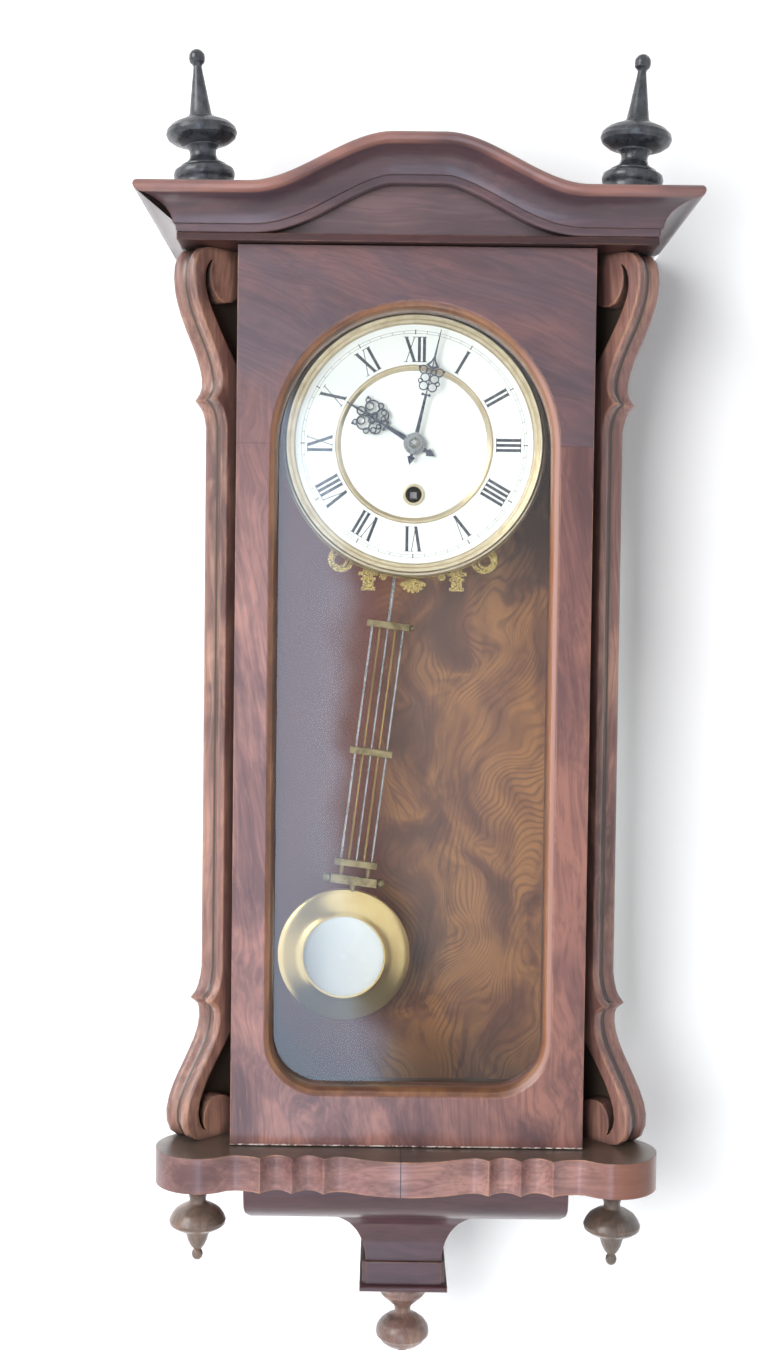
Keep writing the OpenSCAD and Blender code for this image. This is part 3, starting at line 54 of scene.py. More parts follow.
def put(tree, kind, values=None, **settings):
    """One shader or geometry node with its settings and its inputs."""
    made = tree.nodes.new(kind)
    for name, value in settings.items():
        setattr(made, name, value)
    fill(tree, made.inputs, values or {})
    return made


def placed(tree, group, **values):
    """The outputs of a shader group placed in a material."""
    made = put(tree, "ShaderNodeGroup", node_tree=group)
    fill(tree, made.inputs, values)
    return made.outputs


def join(tree, shader, **sources):
    """Sources to a shader's inputs; an underscore in a name is a space."""
    fill(tree, shader.inputs, {name.replace("_", " "): value for name, value in sources.items()})


def rgb(red, green, blue):
    """A colour, linear and opaque."""
    return red, green, blue, 1


def mixed(tree, factor, a, b):
    """A colour between two colours."""
    return put(tree, "ShaderNodeMix", {0: factor, 6: a, 7: b}, data_type="RGBA").outputs[2]


def maths(tree, operation, a, b=0.0):
    """The value of one sum."""
    return put(tree, "ShaderNodeMath", {0: a, 1: b}, operation=operation).outputs[0]


def times(tree, first, *others):
    """The product of some values."""
    for other in others:
        first = maths(tree, "MULTIPLY", first, other)
    return first


def apart(tree, a, b):
    """How far two values lie apart."""
    return maths(tree, "ABSOLUTE", maths(tree, "SUBTRACT", a, b))


def spread(tree, value, low, high, to_low=0.0, to_high=1.0):
    """A value carried smoothly from one range to another."""
    values = {"Value": value, "From Min": low, "From Max": high, "To Min": to_low, "To Max": to_high}
    return put(tree, "ShaderNodeMapRange", values, interpolation_type="SMOOTHSTEP").outputs["Result"]


def vector(tree, operation, values):
    """One vector sum; its result is its first output, or Value."""
    return put(tree, "ShaderNodeVectorMath", values, operation=operation).outputs


def xyz(tree, point):
    """The three coordinates of a point."""
    return put(tree, "ShaderNodeSeparateXYZ", {0: point}).outputs


def stretched(tree, point, scale, turn=(0, 0, 0), shift=(0, 0, 0)):
    """A point scaled, turned and shifted before a pattern reads it."""
    values = {"Vector": point, "Location": shift, "Rotation": turn, "Scale": scale}
    return put(tree, "ShaderNodeMapping", values).outputs["Vector"]


def noise(tree, point, scale, detail=3.0, rough=0.5, distortion=0.0, output="Fac"):
    """A noise pattern. With three scales it is stretched along the axes."""
    if isinstance(scale, tuple):
        point, scale = stretched(tree, point, scale), 1.0
    values = {"Vector": point, "Scale": scale, "Detail": detail, "Roughness": rough, "Distortion": distortion}
    return put(tree, "ShaderNodeTexNoise", values).outputs[output]


def wandering(tree, point, drift, reach):
    """A point moved along a noise's colour, by up to half of reach each way."""
    middle = (0.5, 0.5, 0.5)
    drift = vector(tree, "SUBTRACT", {0: drift, 1: middle})[0]
    drift = vector(tree, "SCALE", {0: drift, "Scale": reach})[0]
    return vector(tree, "ADD", {0: point, 1: drift})[0]


def relief(tree, strength, distance, height, normal=None):
    """A normal bumped by a pattern."""
    values = {"Strength": strength, "Distance": distance, "Height": height}
    if normal is not None:
        values["Normal"] = normal
    return put(tree, "ShaderNodeBump", values).outputs[0]


def occlusion(tree, distance, only_local):
    """How open a point is to its surroundings, from 0 in a corner to 1."""
    return put(tree, "ShaderNodeAmbientOcclusion", {"Distance": distance}, samples=4,
               only_local=only_local).outputs["AO"]


def shader_group(name, inputs, outputs):
    """An empty shader group with named sockets; returns its tree, its inputs and the ends to fill."""
    tree = bpy.data.node_groups.new(name, "ShaderNodeTree")
    kinds = {"v": "NodeSocketVector", "f": "NodeSocketFloat", "c": "NodeSocketColor"}
    for sockets, side in ((inputs, "INPUT"), (outputs, "OUTPUT")):
        for socket, kind in sockets.items():
            tree.interface.new_socket(name=socket, in_out=side, socket_type=kinds[kind])
    return tree, tree.nodes.new("NodeGroupInput").outputs, tree.nodes.new("NodeGroupOutput").inputs


def new_material(name):
    """A material with its shader, and the Object coordinates that its patterns read."""
    material = bpy.data.materials.new(name)
    material.use_nodes = True
    tree = material.node_tree
    tree.nodes.clear()
    shader = tree.nodes.new("ShaderNodeBsdfPrincipled")
    put(tree, "ShaderNodeOutputMaterial", {"Surface": shader.outputs[0]})
    return material, tree, shader, tree.nodes.new("ShaderNodeTexCoord").outputs["Object"]


def see_through(tree, shader, factor, tint=rgb(1, 1, 1)):
    """Makes a material clear where a factor is 1."""
    clear = put(tree, "ShaderNodeBsdfTransparent", {"Color": tint})
    both = put(tree, "ShaderNodeMixShader", {0: factor, 1: shader.outputs[0], 2: clear.outputs[0]})
    tree.links.new(both.outputs[0], tree.get_output_node("ALL").inputs["Surface"])


# Smooth shading
# Every CAD piece is welded and shaded smooth except across its sharp edges.

WELD = 0.000002
SHARP_EDGE = math.radians(28)

smooth = bpy.data.node_groups.new("smooth_faces_sharp_edges", "GeometryNodeTree")
for side in ("INPUT", "OUTPUT"):
    smooth.interface.new_socket(name="Geometry", in_out=side, socket_type="NodeSocketGeometry")
start = smooth.nodes.new("NodeGroupInput")
welded = put(smooth, "GeometryNodeMergeByDistance", {"Geometry": start.outputs[0], "Distance": WELD})
soft = put(smooth, "GeometryNodeSetShadeSmooth", {"Geometry": welded.outputs[0], "Shade Smooth": True})
bend = put(smooth, "GeometryNodeInputMeshEdgeAngle")
sharp = put(smooth, "FunctionNodeCompare", {0: bend.outputs[0], 1: SHARP_EDGE}, data_type="FLOAT",
            operation="GREATER_THAN")
values = {"Geometry": soft.outputs[0], "Selection": sharp.outputs[0], "Shade Smooth": False}
crisp = put(smooth, "GeometryNodeSetShadeSmooth", values, domain="EDGE")
smooth.links.new(crisp.outputs[0], smooth.nodes.new("NodeGroupOutput").inputs[0])


def dress(names, material):
    """Gives CAD pieces a material, and smooth shading across their gentle edges."""
    for name in names.split():
        piece = nodes[name]
        piece.data.materials.clear()
        piece.data.materials.append(material)
        piece.modifiers.new("smooth", "NODES").node_group = smooth


# Wear and corner shade
# Rubbed edges, found from a rounded normal, and corners, found from how open a point is. The
# materials darken the corners as painted shade mixed with dirtiness. Wood and metal share it.

CORNER_REACH = 0.009

wear_and_corner_shade, given, ends = shader_group(
    "worn_edges_and_corner_shade",
    {"Vector": "v", "Radius": "f", "Amount": "f"},
    {"Edge": "f", "Corner": "f", "Normal": "v"})
rounded = put(wear_and_corner_shade, "ShaderNodeBevel", {"Radius": given["Radius"]}, samples=4).outputs[0]
flat = put(wear_and_corner_shade, "ShaderNodeNewGeometry").outputs["Normal"]
bent = vector(wear_and_corner_shade, "DOT_PRODUCT", {0: rounded, 1: flat})["Value"]
openness = occlusion(wear_and_corner_shade, CORNER_REACH, False)
edge = times(wear_and_corner_shade, spread(wear_and_corner_shade, bent, 0.995, 0.86), spread(wear_and_corner_shade, openness, 0.62, 0.84))
patch = noise(wear_and_corner_shade, given["Vector"], (44, 44, 30), 5, 0.75)
edge = times(wear_and_corner_shade, edge, spread(wear_and_corner_shade, patch, 0.4, 0.62, 0.1, 1.0))
edge = put(wear_and_corner_shade, "ShaderNodeMath", {0: edge, 1: given["Amount"]}, operation="MULTIPLY", use_clamp=True)
# Corner is how closed a point is; the materials use it for painted shade in corners
fill(wear_and_corner_shade, ends, {"Edge": edge.outputs[0], "Corner": spread(wear_and_corner_shade, openness, 0.82, 0.3), "Normal": rounded})


# Polished walnut
# Straight grain along Z, of fine fibres and slow dark and light bands, under a worn shine. Nearly
# all of the case is made of it, in different tones.

grain, given, ends = shader_group(
    "walnut_grain",
    {"Vector": "v", "Dark": "c", "Mid": "c", "Light": "c", "Figure": "f", "Bands": "f"},
    {"Color": "c", "Roughness": "f", "Height": "f"})
drift = noise(grain, given["Vector"], (9, 9, 3.2), 3, 0.55, 0.6, "Color")
bent = wandering(grain, given["Vector"], drift, given["Figure"])
broad = noise(grain, bent, (34, 34, 4.5), 4, 0.6, 0.3)
fibre = noise(grain, bent, (420, 420, 13), 3, 0.62)
cloud = noise(grain, given["Vector"], (22, 22, 11), 4, 0.6, 0.4)
tone = mixed(grain, spread(grain, broad, 0.34, 0.56), given["Dark"], given["Mid"])
tone = mixed(grain, times(grain, spread(grain, cloud, 0.42, 0.68), given["Bands"]), tone, given["Light"])
tone = mixed(grain, spread(grain, fibre, 0.56, 0.36, 0, 0.42), tone, given["Dark"])
tone = mixed(grain, spread(grain, fibre, 0.52, 0.74, 0, 0.3), tone, given["Light"])
fill(grain, ends, {"Color": tone, "Roughness": spread(grain, cloud, 0.3, 0.7, 0.38, 0.28), "Height": cloud})

WALNUT = rgb(0.075, 0.036, 0.038), rgb(0.13, 0.065, 0.065), rgb(0.23, 0.11, 0.09)
WORN_WOOD = rgb(0.55, 0.27, 0.13)
# Near black for corners darkened as painted shade with dirtiness; the door's dark seam uses it too
SHADE_AND_GRIME = rgb(0.022, 0.014, 0.012)
CORNER_SHADE_AMOUNT, CORNER_ROUGH = 0.85, 0.3
ALONG_X, ALONG_Y = (0, math.pi / 2, 0), (math.pi / 2, 0, 0)


def walnut(tree, place, tones, turn=(0, 0, 0), shift=(0, 0, 0), figure=0.05, bands=0.7):
    """The grain group with its grain turned and shifted, in dark, mid and light tones."""
    dark, mid, light = tones
    return placed(tree, grain, Vector=stretched(tree, place, (1, 1, 1), turn, shift), Dark=dark, Mid=mid,
                  Light=light, Figure=figure, Bands=bands)


def polished_walnut(name, tones=WALNUT, wear=0.9, radius=0.0012, coat=0.35, veneer=None, finish=None, **cut):
    """Stained and polished walnut with rubbed edges, corners darkened as painted shade with dirtiness, and a
    worn shine.

    veneer and finish each take the tree, the place and a colour, and return a colour. The first lies
    under the wear and the second over it. cut is what walnut takes: turn, shift, figure and bands."""
    material, tree, shader, place = new_material(name)
    wood = walnut(tree, place, tones, **cut)
    rub = placed(tree, wear_and_corner_shade, Vector=place, Radius=radius, Amount=wear)
    colour = veneer(tree, place, wood["Color"]) if veneer else wood["Color"]
    colour = mixed(tree, rub["Edge"], colour, WORN_WOOD)
    # Corners darkened as painted shade with dirtiness
    colour = mixed(tree, times(tree, rub["Corner"], CORNER_SHADE_AMOUNT), colour, SHADE_AND_GRIME)
    rough = maths(tree, "ADD", wood["Roughness"], times(tree, rub["Corner"], CORNER_ROUGH))
    join(tree, shader, Base_Color=finish(tree, place, colour) if finish else colour, Roughness=rough,
         Normal=relief(tree, 0.12, 0.0004, wood["Height"], rub["Normal"]),
         Coat_Weight=coat, Coat_Roughness=0.22, Specular_IOR_Level=0.55)
    return material


# Back board
# One wide board that carries the whole clock. Its face inside the case has a crotch veneer of
# orange and brown clouds, crossed by fine dark growth lines that droop to both sides of a spine and
# curl round it. Its edges are stained and its back is bare wood.

BURR_DARK, BURR_MID, BURR_LIGHT = rgb(0.09, 0.036, 0.028), rgb(0.21, 0.082, 0.046), rgb(0.39, 0.17, 0.066)
SPINE_X, SPINE_WIDE = 0.022, 0.022
RED_WOOD, RED_UNTIL_X, RED_FADE = rgb(0.16, 0.03, 0.022), -0.018, 0.012
BARE_PALE, BARE_DARK = rgb(0.42, 0.29, 0.18), rgb(0.3, 0.19, 0.11)
VENEER_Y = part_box("back_board")[0].y
# Between these depths the stain of the edges gives way to the bare back, and to the veneer
BACK_SKIN, VENEER_SKIN = (-0.0006, -0.0003), (0.0004, 0.0002)

burr, given, ends = shader_group(
    "crotch_figure", {"Vector": "v", "Dark": "c", "Mid": "c", "Light": "c", "Spine": "f"}, {"Color": "c"})
bent = wandering(burr, given["Vector"], noise(burr, given["Vector"], 14.0, 1.0, 0.4, 0.3, "Color"), 0.06)
x, y, z = xyz(burr, bent)
aside = apart(burr, x, given["Spine"])
droop = times(burr, maths(burr, "POWER", maths(burr, "ADD", aside, 0.004), 0.7), 0.8)
curl = noise(burr, bent, (18, 18, 11), 1.0, 0.4, 0.3)
field = maths(burr, "SUBTRACT", times(burr, z, 0.6), droop)
field = maths(burr, "ADD", field, times(burr, curl, 0.12))
fade = noise(burr, bent, (30, 30, 18), 3, 0.6)
clouds = noise(burr, bent, (22, 22, 10), 5, 0.6, 0.8)
tone = mixed(burr, spread(burr, clouds, 0.42, 0.6), given["Mid"], given["Light"])
tone = mixed(burr, spread(burr, clouds, 0.46, 0.34, 0, 0.65), tone, given["Dark"])
# Broad lines show where the fade is high, fine ones where it is low
for cycles, line_from, shown in ((640.0, 0.1, (0.38, 0.64, 0, 0.55)), (1700.0, 0.2, (0.62, 0.36, 0, 0.5))):
    lines = maths(burr, "SINE", times(burr, field, cycles))
    lines = times(burr, spread(burr, lines, line_from, -1.0), spread(burr, fade, *shown))
    tone = mixed(burr, lines, tone, given["Dark"])
heart = times(burr, spread(burr, aside, SPINE_WIDE, 0.0), spread(burr, clouds, 0.6, 0.4, 0.1, 0.55))
fill(burr, ends, {"Color": mixed(burr, heart, tone, given["Dark"])})


def board_faces(tree, place, colour):
    """Bare wood on the back and the veneer on the front, which turns red at its left."""
    x, y, z = xyz(tree, place)
    bare = noise(tree, place, (160, 160, 6), 4, 0.6)
    bare = mixed(tree, spread(tree, bare, 0.35, 0.65), BARE_PALE, BARE_DARK)
    colour = mixed(tree, spread(tree, y, *BACK_SKIN), colour, bare)
    figure = placed(tree, burr, Vector=place, Dark=BURR_DARK, Mid=BURR_MID, Light=BURR_LIGHT, Spine=SPINE_X)
    red = spread(tree, x, RED_UNTIL_X + RED_FADE, RED_UNTIL_X - RED_FADE, 0, 0.9)
    figure = mixed(tree, red, figure["Color"], RED_WOOD)
    veneered = spread(tree, y, VENEER_Y + VENEER_SKIN[0], VENEER_Y + VENEER_SKIN[1])
    return mixed(tree, veneered, colour, figure)


dress("back_board", polished_walnut("back_board_wood", finish=board_faces))


# Side frames and top board
# The two side frames are stained walnut round narrow panes; the top board's front edge is the thin
# reddish rail over the door.

RAIL_TONES = rgb(0.02, 0.006, 0.007), rgb(0.036, 0.011, 0.012), rgb(0.06, 0.02, 0.02)

dress("side_frame_left side_frame_right", polished_walnut("side_wood", shift=(0.2, 0, 0)))
dress("top_board", polished_walnut("top_board_wood", RAIL_TONES, wear=0.35, coat=0.1, turn=ALONG_X))


# Cornice
# A frieze panel with the arched moulding on its face and two mitred side returns, dark walnut with
# a purple-grey shine and rubbed orange along the upper lip.

CORNICE_TONES = rgb(0.048, 0.029, 0.038), rgb(0.08, 0.046, 0.055), rgb(0.13, 0.062, 0.064)
FRIEZE_TONES = rgb(0.07, 0.044, 0.052), rgb(0.11, 0.07, 0.08), rgb(0.16, 0.095, 0.095)
FRIEZE_TURN = (0, math.pi / 2, 0.3)
LIP_COLOUR, LIP_DEEP = rgb(0.3, 0.135, 0.105), 0.006
LIP_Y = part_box("cornice_front")[0].y


def rubbed_lip(tree, place, colour):
    """The foremost few millimetres are rubbed, in patches along the moulding."""
    lip = spread(tree, xyz(tree, place)["Y"], LIP_Y + LIP_DEEP, LIP_Y + LIP_DEEP / 2)
    patches = spread(tree, noise(tree, place, (14, 40, 40), 3, 0.6), 0.3, 0.7, 0.15, 0.8)
    return mixed(tree, times(tree, lip, patches), colour, LIP_COLOUR)


dress("cornice_front",
      polished_walnut("cornice_wood", CORNICE_TONES, wear=0.2, finish=rubbed_lip, turn=ALONG_X, bands=0.6))
dress("cornice_left cornice_right",
      polished_walnut("cornice_return_wood", CORNICE_TONES, wear=0.6, turn=ALONG_Y, bands=0.4))
dress("frieze_panel", polished_walnut("frieze_wood", FRIEZE_TONES, turn=FRIEZE_TURN, shift=(0, 0.4, 0)))


# Finials
# Two tall turned finials of ebonised pear wood, polished on the lathe, with grey dust in the rings.

BLACK, DUSTY, BLACK_EDGE = rgb(0.016, 0.018, 0.023), rgb(0.055, 0.06, 0.07), rgb(0.13, 0.12, 0.115)

material, tree, shader, place = new_material("ebonised_wood")
turning = noise(tree, place, (30, 30, 900), 2, 0.5)
dust = noise(tree, place, 160, 4, 0.7)
rub = placed(tree, wear_and_corner_shade, Vector=place, Radius=0.0008, Amount=0.6)
colour = mixed(tree, spread(tree, dust, 0.4, 0.7), BLACK, DUSTY)
join(tree, shader, Base_Color=mixed(tree, rub["Edge"], colour, BLACK_EDGE),
     Roughness=spread(tree, dust, 0.3, 0.7, 0.24, 0.42), Coat_Weight=0.3, Coat_Roughness=0.15,
     Normal=relief(tree, 0.1, 0.0003, turning, rub["Normal"]))
dress("finial_left finial_right", material)


# Brackets
# Reeded scroll brackets of carved walnut at 45 degrees on the front corners; the reeds' crowns are
# rubbed to a reddish orange, and the grooves between the reeds and the sunk ground beside the
# scrolls are painted dark as shade.

BRACKET_TONES = rgb(0.08, 0.037, 0.034), rgb(0.2, 0.1, 0.086), rgb(0.46, 0.25, 0.18)
# Colours of painted shade in the reeds' grooves and on the sunk ground
GROOVE_SHADE, GROOVE_REACH, GROUND_SHADE = rgb(0.035, 0.022, 0.018), 0.005, rgb(0.045, 0.034, 0.026)
# The ground is a plane at 45 degrees, sunk this far behind the corner of the case
CORNER_X, CORNER_Y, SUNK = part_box("bracket_right")[0].x, -0.142, 0.01176
GROUND_LINE = CORNER_X + CORNER_Y + SUNK * math.sqrt(2)
OFF_GROUND, ON_GROUND = 0.0016, 0.0006


def shaded_hollows(tree, place, colour):
    """Painted shade: dark in the grooves between the reeds and on the sunk ground beside the scrolls."""
    x, y, z = xyz(tree, place)
    groove_shade = spread(tree, occlusion(tree, GROOVE_REACH, True), 0.93, 0.62, 0, 0.8)
    colour = mixed(tree, groove_shade, colour, GROOVE_SHADE)
    away = apart(tree, maths(tree, "ADD", maths(tree, "ABSOLUTE", x), y), GROUND_LINE)
    return mixed(tree, spread(tree, away, OFF_GROUND, ON_GROUND), colour, GROUND_SHADE)


dress("bracket_left bracket_right",
      polished_walnut("bracket_wood", BRACKET_TONES, wear=1.0, radius=0.0022, finish=shaded_hollows))


# Plinth
# A serpentine plinth with sharp ridges. It has a crack in its middle, a reddish right end and a
# dark olive tint on its upward faces.

PLINTH_TONES = rgb(0.1, 0.047, 0.045), rgb(0.22, 0.112, 0.105), rgb(0.4, 0.21, 0.175)
PLINTH_RED, PLINTH_TOP, PLINTH_CRACK = rgb(0.17, 0.055, 0.026), rgb(0.07, 0.06, 0.045), rgb(0.012, 0.008, 0.008)
CRACK_X, CRACK_IN, CRACK_OUT = -0.0035, 0.00015, 0.00045
CRACK_FROM_Y, CRACK_FULL_Y = -0.16, -0.17
LOBE_FROM, LOBE_FULL = 0.1, 0.14


def aged_plinth(tree, place, colour):
    """The toned ends, the dark olive upward faces and the crack."""
    x, y, z = xyz(tree, place)
    colour = mixed(tree, spread(tree, x, LOBE_FROM, LOBE_FULL, 0, 0.8), colour, PLINTH_RED)
    colour = mixed(tree, spread(tree, x, -LOBE_FROM, -LOBE_FULL, 0, 0.35), colour, WALNUT[0])
    upward = xyz(tree, put(tree, "ShaderNodeNewGeometry").outputs["Normal"])["Z"]
    colour = mixed(tree, spread(tree, upward, 0.8, 0.95, 0, 0.8), colour, PLINTH_TOP)
    crack = spread(tree, apart(tree, x, CRACK_X), CRACK_OUT, CRACK_IN)
    crack = times(tree, crack, spread(tree, y, CRACK_FROM_Y, CRACK_FULL_Y))
    return mixed(tree, crack, colour, PLINTH_CRACK)


dress("base_plinth",
      polished_walnut("plinth_wood", PLINTH_TONES, wear=1.0, radius=0.0018, finish=aged_plinth, turn=ALONG_X))


# Tail and drops
# A rounded tail block on a foot board, and turned drops of a paler olive-brown wood that were never
# stained evenly.

TAIL_TONES = rgb(0.036, 0.015, 0.02), rgb(0.066, 0.028, 0.034), rgb(0.1, 0.045, 0.05)
DROP_TONES = rgb(0.055, 0.04, 0.034), rgb(0.1, 0.078, 0.065), rgb(0.22, 0.135, 0.095)
TAIL_FINIAL_TONES = rgb(0.075, 0.045, 0.038), rgb(0.17, 0.1, 0.085), rgb(0.36, 0.22, 0.15)

dress("tail_block tail_plate", polished_walnut("tail_wood", TAIL_TONES, wear=0.5, turn=ALONG_X, bands=0.5))
dress("drop_left drop_right", polished_walnut("drop_wood", DROP_TONES, wear=0.7, figure=0.09, bands=0.9))
dress("tail_finial", polished_walnut("tail_finial_wood", TAIL_FINIAL_TONES, wear=0.8, figure=0.12, bands=1.0))


# Door
# A solid frame veneered in walnut: dark figure lies across the head above a joint at dial height,
# paler red wood runs up the stiles below it. The bevel round the glass is rubbed to orange on a
# dark that is partly painted shade, and its right side is painted paler as lit, with a painted
# highlight at its rim. The veneer's lower edge is chipped.

STILE_TONES = rgb(0.072, 0.03, 0.03), rgb(0.155, 0.068, 0.06), rgb(0.34, 0.15, 0.112)
HEAD_TONES = rgb(0.06, 0.039, 0.048), rgb(0.092, 0.058, 0.068), rgb(0.17, 0.08, 0.075)
STILE_TURN, HEAD_TURN = (0, 0.12, 0), (0, 1.25, 0)
# The bevel's dark is partly painted shade; on the right the bevel is painted lit, pink as a painted highlight
# at the rim and a lit orange deeper in
BEVEL_DARK_SHADED, BEVEL_ORANGE = rgb(0.1, 0.038, 0.02), rgb(0.2, 0.085, 0.035)
BEVEL_HIGHLIGHT, BEVEL_LIT_ORANGE = rgb(0.3, 0.16, 0.13), rgb(0.27, 0.11, 0.05)
CHIP_COLOUR, CHIP_TOP, CHIP_FULL = rgb(0.75, 0.66, 0.6), 0.0011, 0.0003
JOINT_Z, JOINT_SHARP, TONED_BELOW, TONED_ABOVE = -0.1045, 0.0004, 0.01, 0.06
SEAM_WIDE, SEAM_CORE, SEAM_DARK = 0.0006, 0.0001, 0.35
OPENING_HALF, OPENING_SOFT = 0.0985, 0.0005
# The left stile's look turns into the right one's across MIDDLE, and between the next two x values the bevel's
# right side turns painted lit
MIDDLE, LIT_FROM_X, LIT_FULL_X = 0.02, 0.055, 0.085
DOOR_Y, DOOR_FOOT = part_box("door_frame")[0].y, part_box("door_frame")[0].z
# Depths behind the front: the face itself, the bevel's start and end, and where the painted highlight at its
# rim gives way to lit orange
FACE_DEPTHS, START_DEPTHS = (0.0006, 0.0002), (0.0003, 0.001)
END_DEPTHS, HIGHLIGHT_DEPTHS = (0.009, 0.007), (0.0014, 0.0026)


def behind_front(tree, y, depths):
    """From 0 to 1 between two depths behind the door's front face."""
    return spread(tree, y, DOOR_Y + depths[0], DOOR_Y + depths[1])


def door_bevel(tree, place, x, y):
    """How much a point belongs to the bevel round the glass, and the bevel's colour there: rubbed orange on a
    dark that is partly painted shade, and painted light on its right side.
    """
    within = spread(tree, maths(tree, "ABSOLUTE", x), OPENING_HALF, OPENING_HALF - OPENING_SOFT)
    share = times(tree, within, behind_front(tree, y, START_DEPTHS), behind_front(tree, y, END_DEPTHS))
    rubbed = noise(tree, place, (50, 50, 22), 4, 0.6)
    colour = mixed(tree, spread(tree, rubbed, 0.36, 0.66), BEVEL_DARK_SHADED, BEVEL_ORANGE)
    # Painted light: the right side is paler as lit, with a painted highlight at the rim
    lit_side = mixed(tree, behind_front(tree, y, HIGHLIGHT_DEPTHS), BEVEL_HIGHLIGHT, BEVEL_LIT_ORANGE)
    return share, mixed(tree, spread(tree, x, LIT_FROM_X, LIT_FULL_X), colour, lit_side)


def door_veneer(tree, place, colour):
    """The head's veneer above the joint, and the bevel.

    On the right stile the two veneers meet in a sharp joint; on the left they are toned into one
    another."""
    x, y, z = xyz(tree, place)
    front, right = behind_front(tree, y, FACE_DEPTHS), spread(tree, x, -MIDDLE, MIDDLE)
    patches = noise(tree, place, (45, 45, 16), 3, 0.6)
    level = maths(tree, "ADD", z, spread(tree, patches, 0.3, 0.7, -0.02, 0.02))
    toned = spread(tree, level, JOINT_Z - TONED_BELOW, JOINT_Z + TONED_ABOVE)
    joined = spread(tree, z, JOINT_Z - JOINT_SHARP, JOINT_Z + JOINT_SHARP)
    above = put(tree, "ShaderNodeMix", {0: right, 2: toned, 3: joined}).outputs[0]
    head = walnut(tree, place, HEAD_TONES, HEAD_TURN, figure=0.09, bands=0.8)
    colour = mixed(tree, times(tree, right, 0.3), colour, WALNUT[0])
    colour = mixed(tree, times(tree, above, front), colour, head["Color"])
    seam = spread(tree, apart(tree, z, JOINT_Z), SEAM_WIDE, SEAM_CORE, 0, SEAM_DARK)
    colour = mixed(tree, times(tree, seam, front), colour, SHADE_AND_GRIME)
    share, bevel = door_bevel(tree, place, x, y)
    return mixed(tree, share, colour, bevel)


def door_chips(tree, place, colour):
    """Small pale chips along the lower edge of the front."""
    x, y, z = xyz(tree, place)
    low = spread(tree, z, DOOR_FOOT + CHIP_TOP, DOOR_FOOT + CHIP_FULL)
    specks = spread(tree, noise(tree, place, (260, 260, 260), 4, 0.8), 0.44, 0.56)
    chips = times(tree, low, behind_front(tree, y, FACE_DEPTHS), specks)
    return mixed(tree, chips, colour, CHIP_COLOUR)


dress("door_frame glazing_beads",
      polished_walnut("door_wood", STILE_TONES, wear=0.8, veneer=door_veneer, finish=door_chips,
                      turn=STILE_TURN, figure=0.08, bands=1.0))


# Glass of the door and the side frames
# Old drawn sheet glass, clear with a faint wave, that light passes through to the dial and the bob.

GLASS, GLASS_SHADE = rgb(0.97, 0.99, 0.98), rgb(0.93, 0.95, 0.94)

material, tree, shader, place = new_material("sheet_glass")
wave = noise(tree, place, (7, 7, 3), 2, 0.4)
join(tree, shader, Base_Color=GLASS, Roughness=0.0, Transmission_Weight=1.0, IOR=1.45,
     Normal=relief(tree, 0.015, 0.002, wave))
path = put(tree, "ShaderNodeLightPath").outputs
see_through(tree, shader, maths(tree, "MAXIMUM", path["Is Shadow Ray"], path["Is Diffuse Ray"]), GLASS_SHADE)
dress("door_glass side_glass_left side_glass_right", material)


# Brass and steel
# Metal with dull clouds, fine lines, corners darkened as painted shade with dirtiness and, on brass,
# bright rubbed edges. Brass is lacquered and scratched all ways; steel is bare and brushed along Z.

BRASS = {"spots": 140, "grit": 0.6, "dull_from": 0.35, "lines": (900, 900, 900), "depth": 0.02,
         "radius": 0.0005, "corner_dirt_and_shade": rgb(0.1, 0.06, 0.02), "grime": 0.75, "wear": 0.6}
STEEL = {"spots": 120, "grit": 0.65, "dull_from": 0.38, "lines": (2600, 2600, 60), "depth": 0.05,
         "radius": 0.0004, "corner_dirt_and_shade": rgb(0.05, 0.04, 0.035), "grime": 0.7, "wear": 0.0}
RUBBED_METAL = rgb(0.93, 0.84, 0.6)
WHEEL_BRASS = rgb(0.8, 0.62, 0.3), rgb(0.62, 0.46, 0.2)
ARBOR_STEEL = rgb(0.6, 0.61, 0.63)
CHASED_DARK = rgb(0.07, 0.048, 0.018)


def metal(name, kind, bright, dull, rough=(0.16, 0.34), along=1.0, metallic=1.0, chased=False, finish=None,
          **changes):
    """One metal, polished between two roughnesses; changes replace values of its kind.

    Chased metal is covered with small tool marks. finish takes the tree, the place and the colour,
    and returns a colour."""
    look = {**kind, **changes}
    material, tree, shader, place = new_material(name)
    cloudy = noise(tree, stretched(tree, place, (1, 1, along)), look["spots"], 4, look["grit"])
    lines = noise(tree, place, look["lines"], 2, 0.5)
    rub = placed(tree, wear_and_corner_shade, Vector=place, Radius=look["radius"], Amount=0.8)
    colour = mixed(tree, spread(tree, cloudy, look["dull_from"], 0.68), bright, dull)
    # Corners darkened as painted shade with dirtiness
    colour = mixed(tree, times(tree, rub["Corner"], look["grime"]), colour, look["corner_dirt_and_shade"])
    colour = mixed(tree, times(tree, rub["Edge"], look["wear"]), colour, RUBBED_METAL)
    normal = relief(tree, look["depth"], 0.0001, lines, rub["Normal"])
    if chased:
        marks = {"Vector": stretched(tree, place, (1, 1, 1.7)), "Scale": 620.0}
        marks = put(tree, "ShaderNodeTexVoronoi", marks, feature="DISTANCE_TO_EDGE").outputs["Distance"]
        colour = mixed(tree, spread(tree, marks, 0.13, 0.03, 0, 0.85), colour, CHASED_DARK)
        normal = relief(tree, 0.7, 0.0006, marks)
    join(tree, shader, Base_Color=finish(tree, place, colour) if finish else colour, Metallic=metallic,
         Normal=normal, Roughness=spread(tree, cloudy, 0.3, 0.7, *rough))
    return material


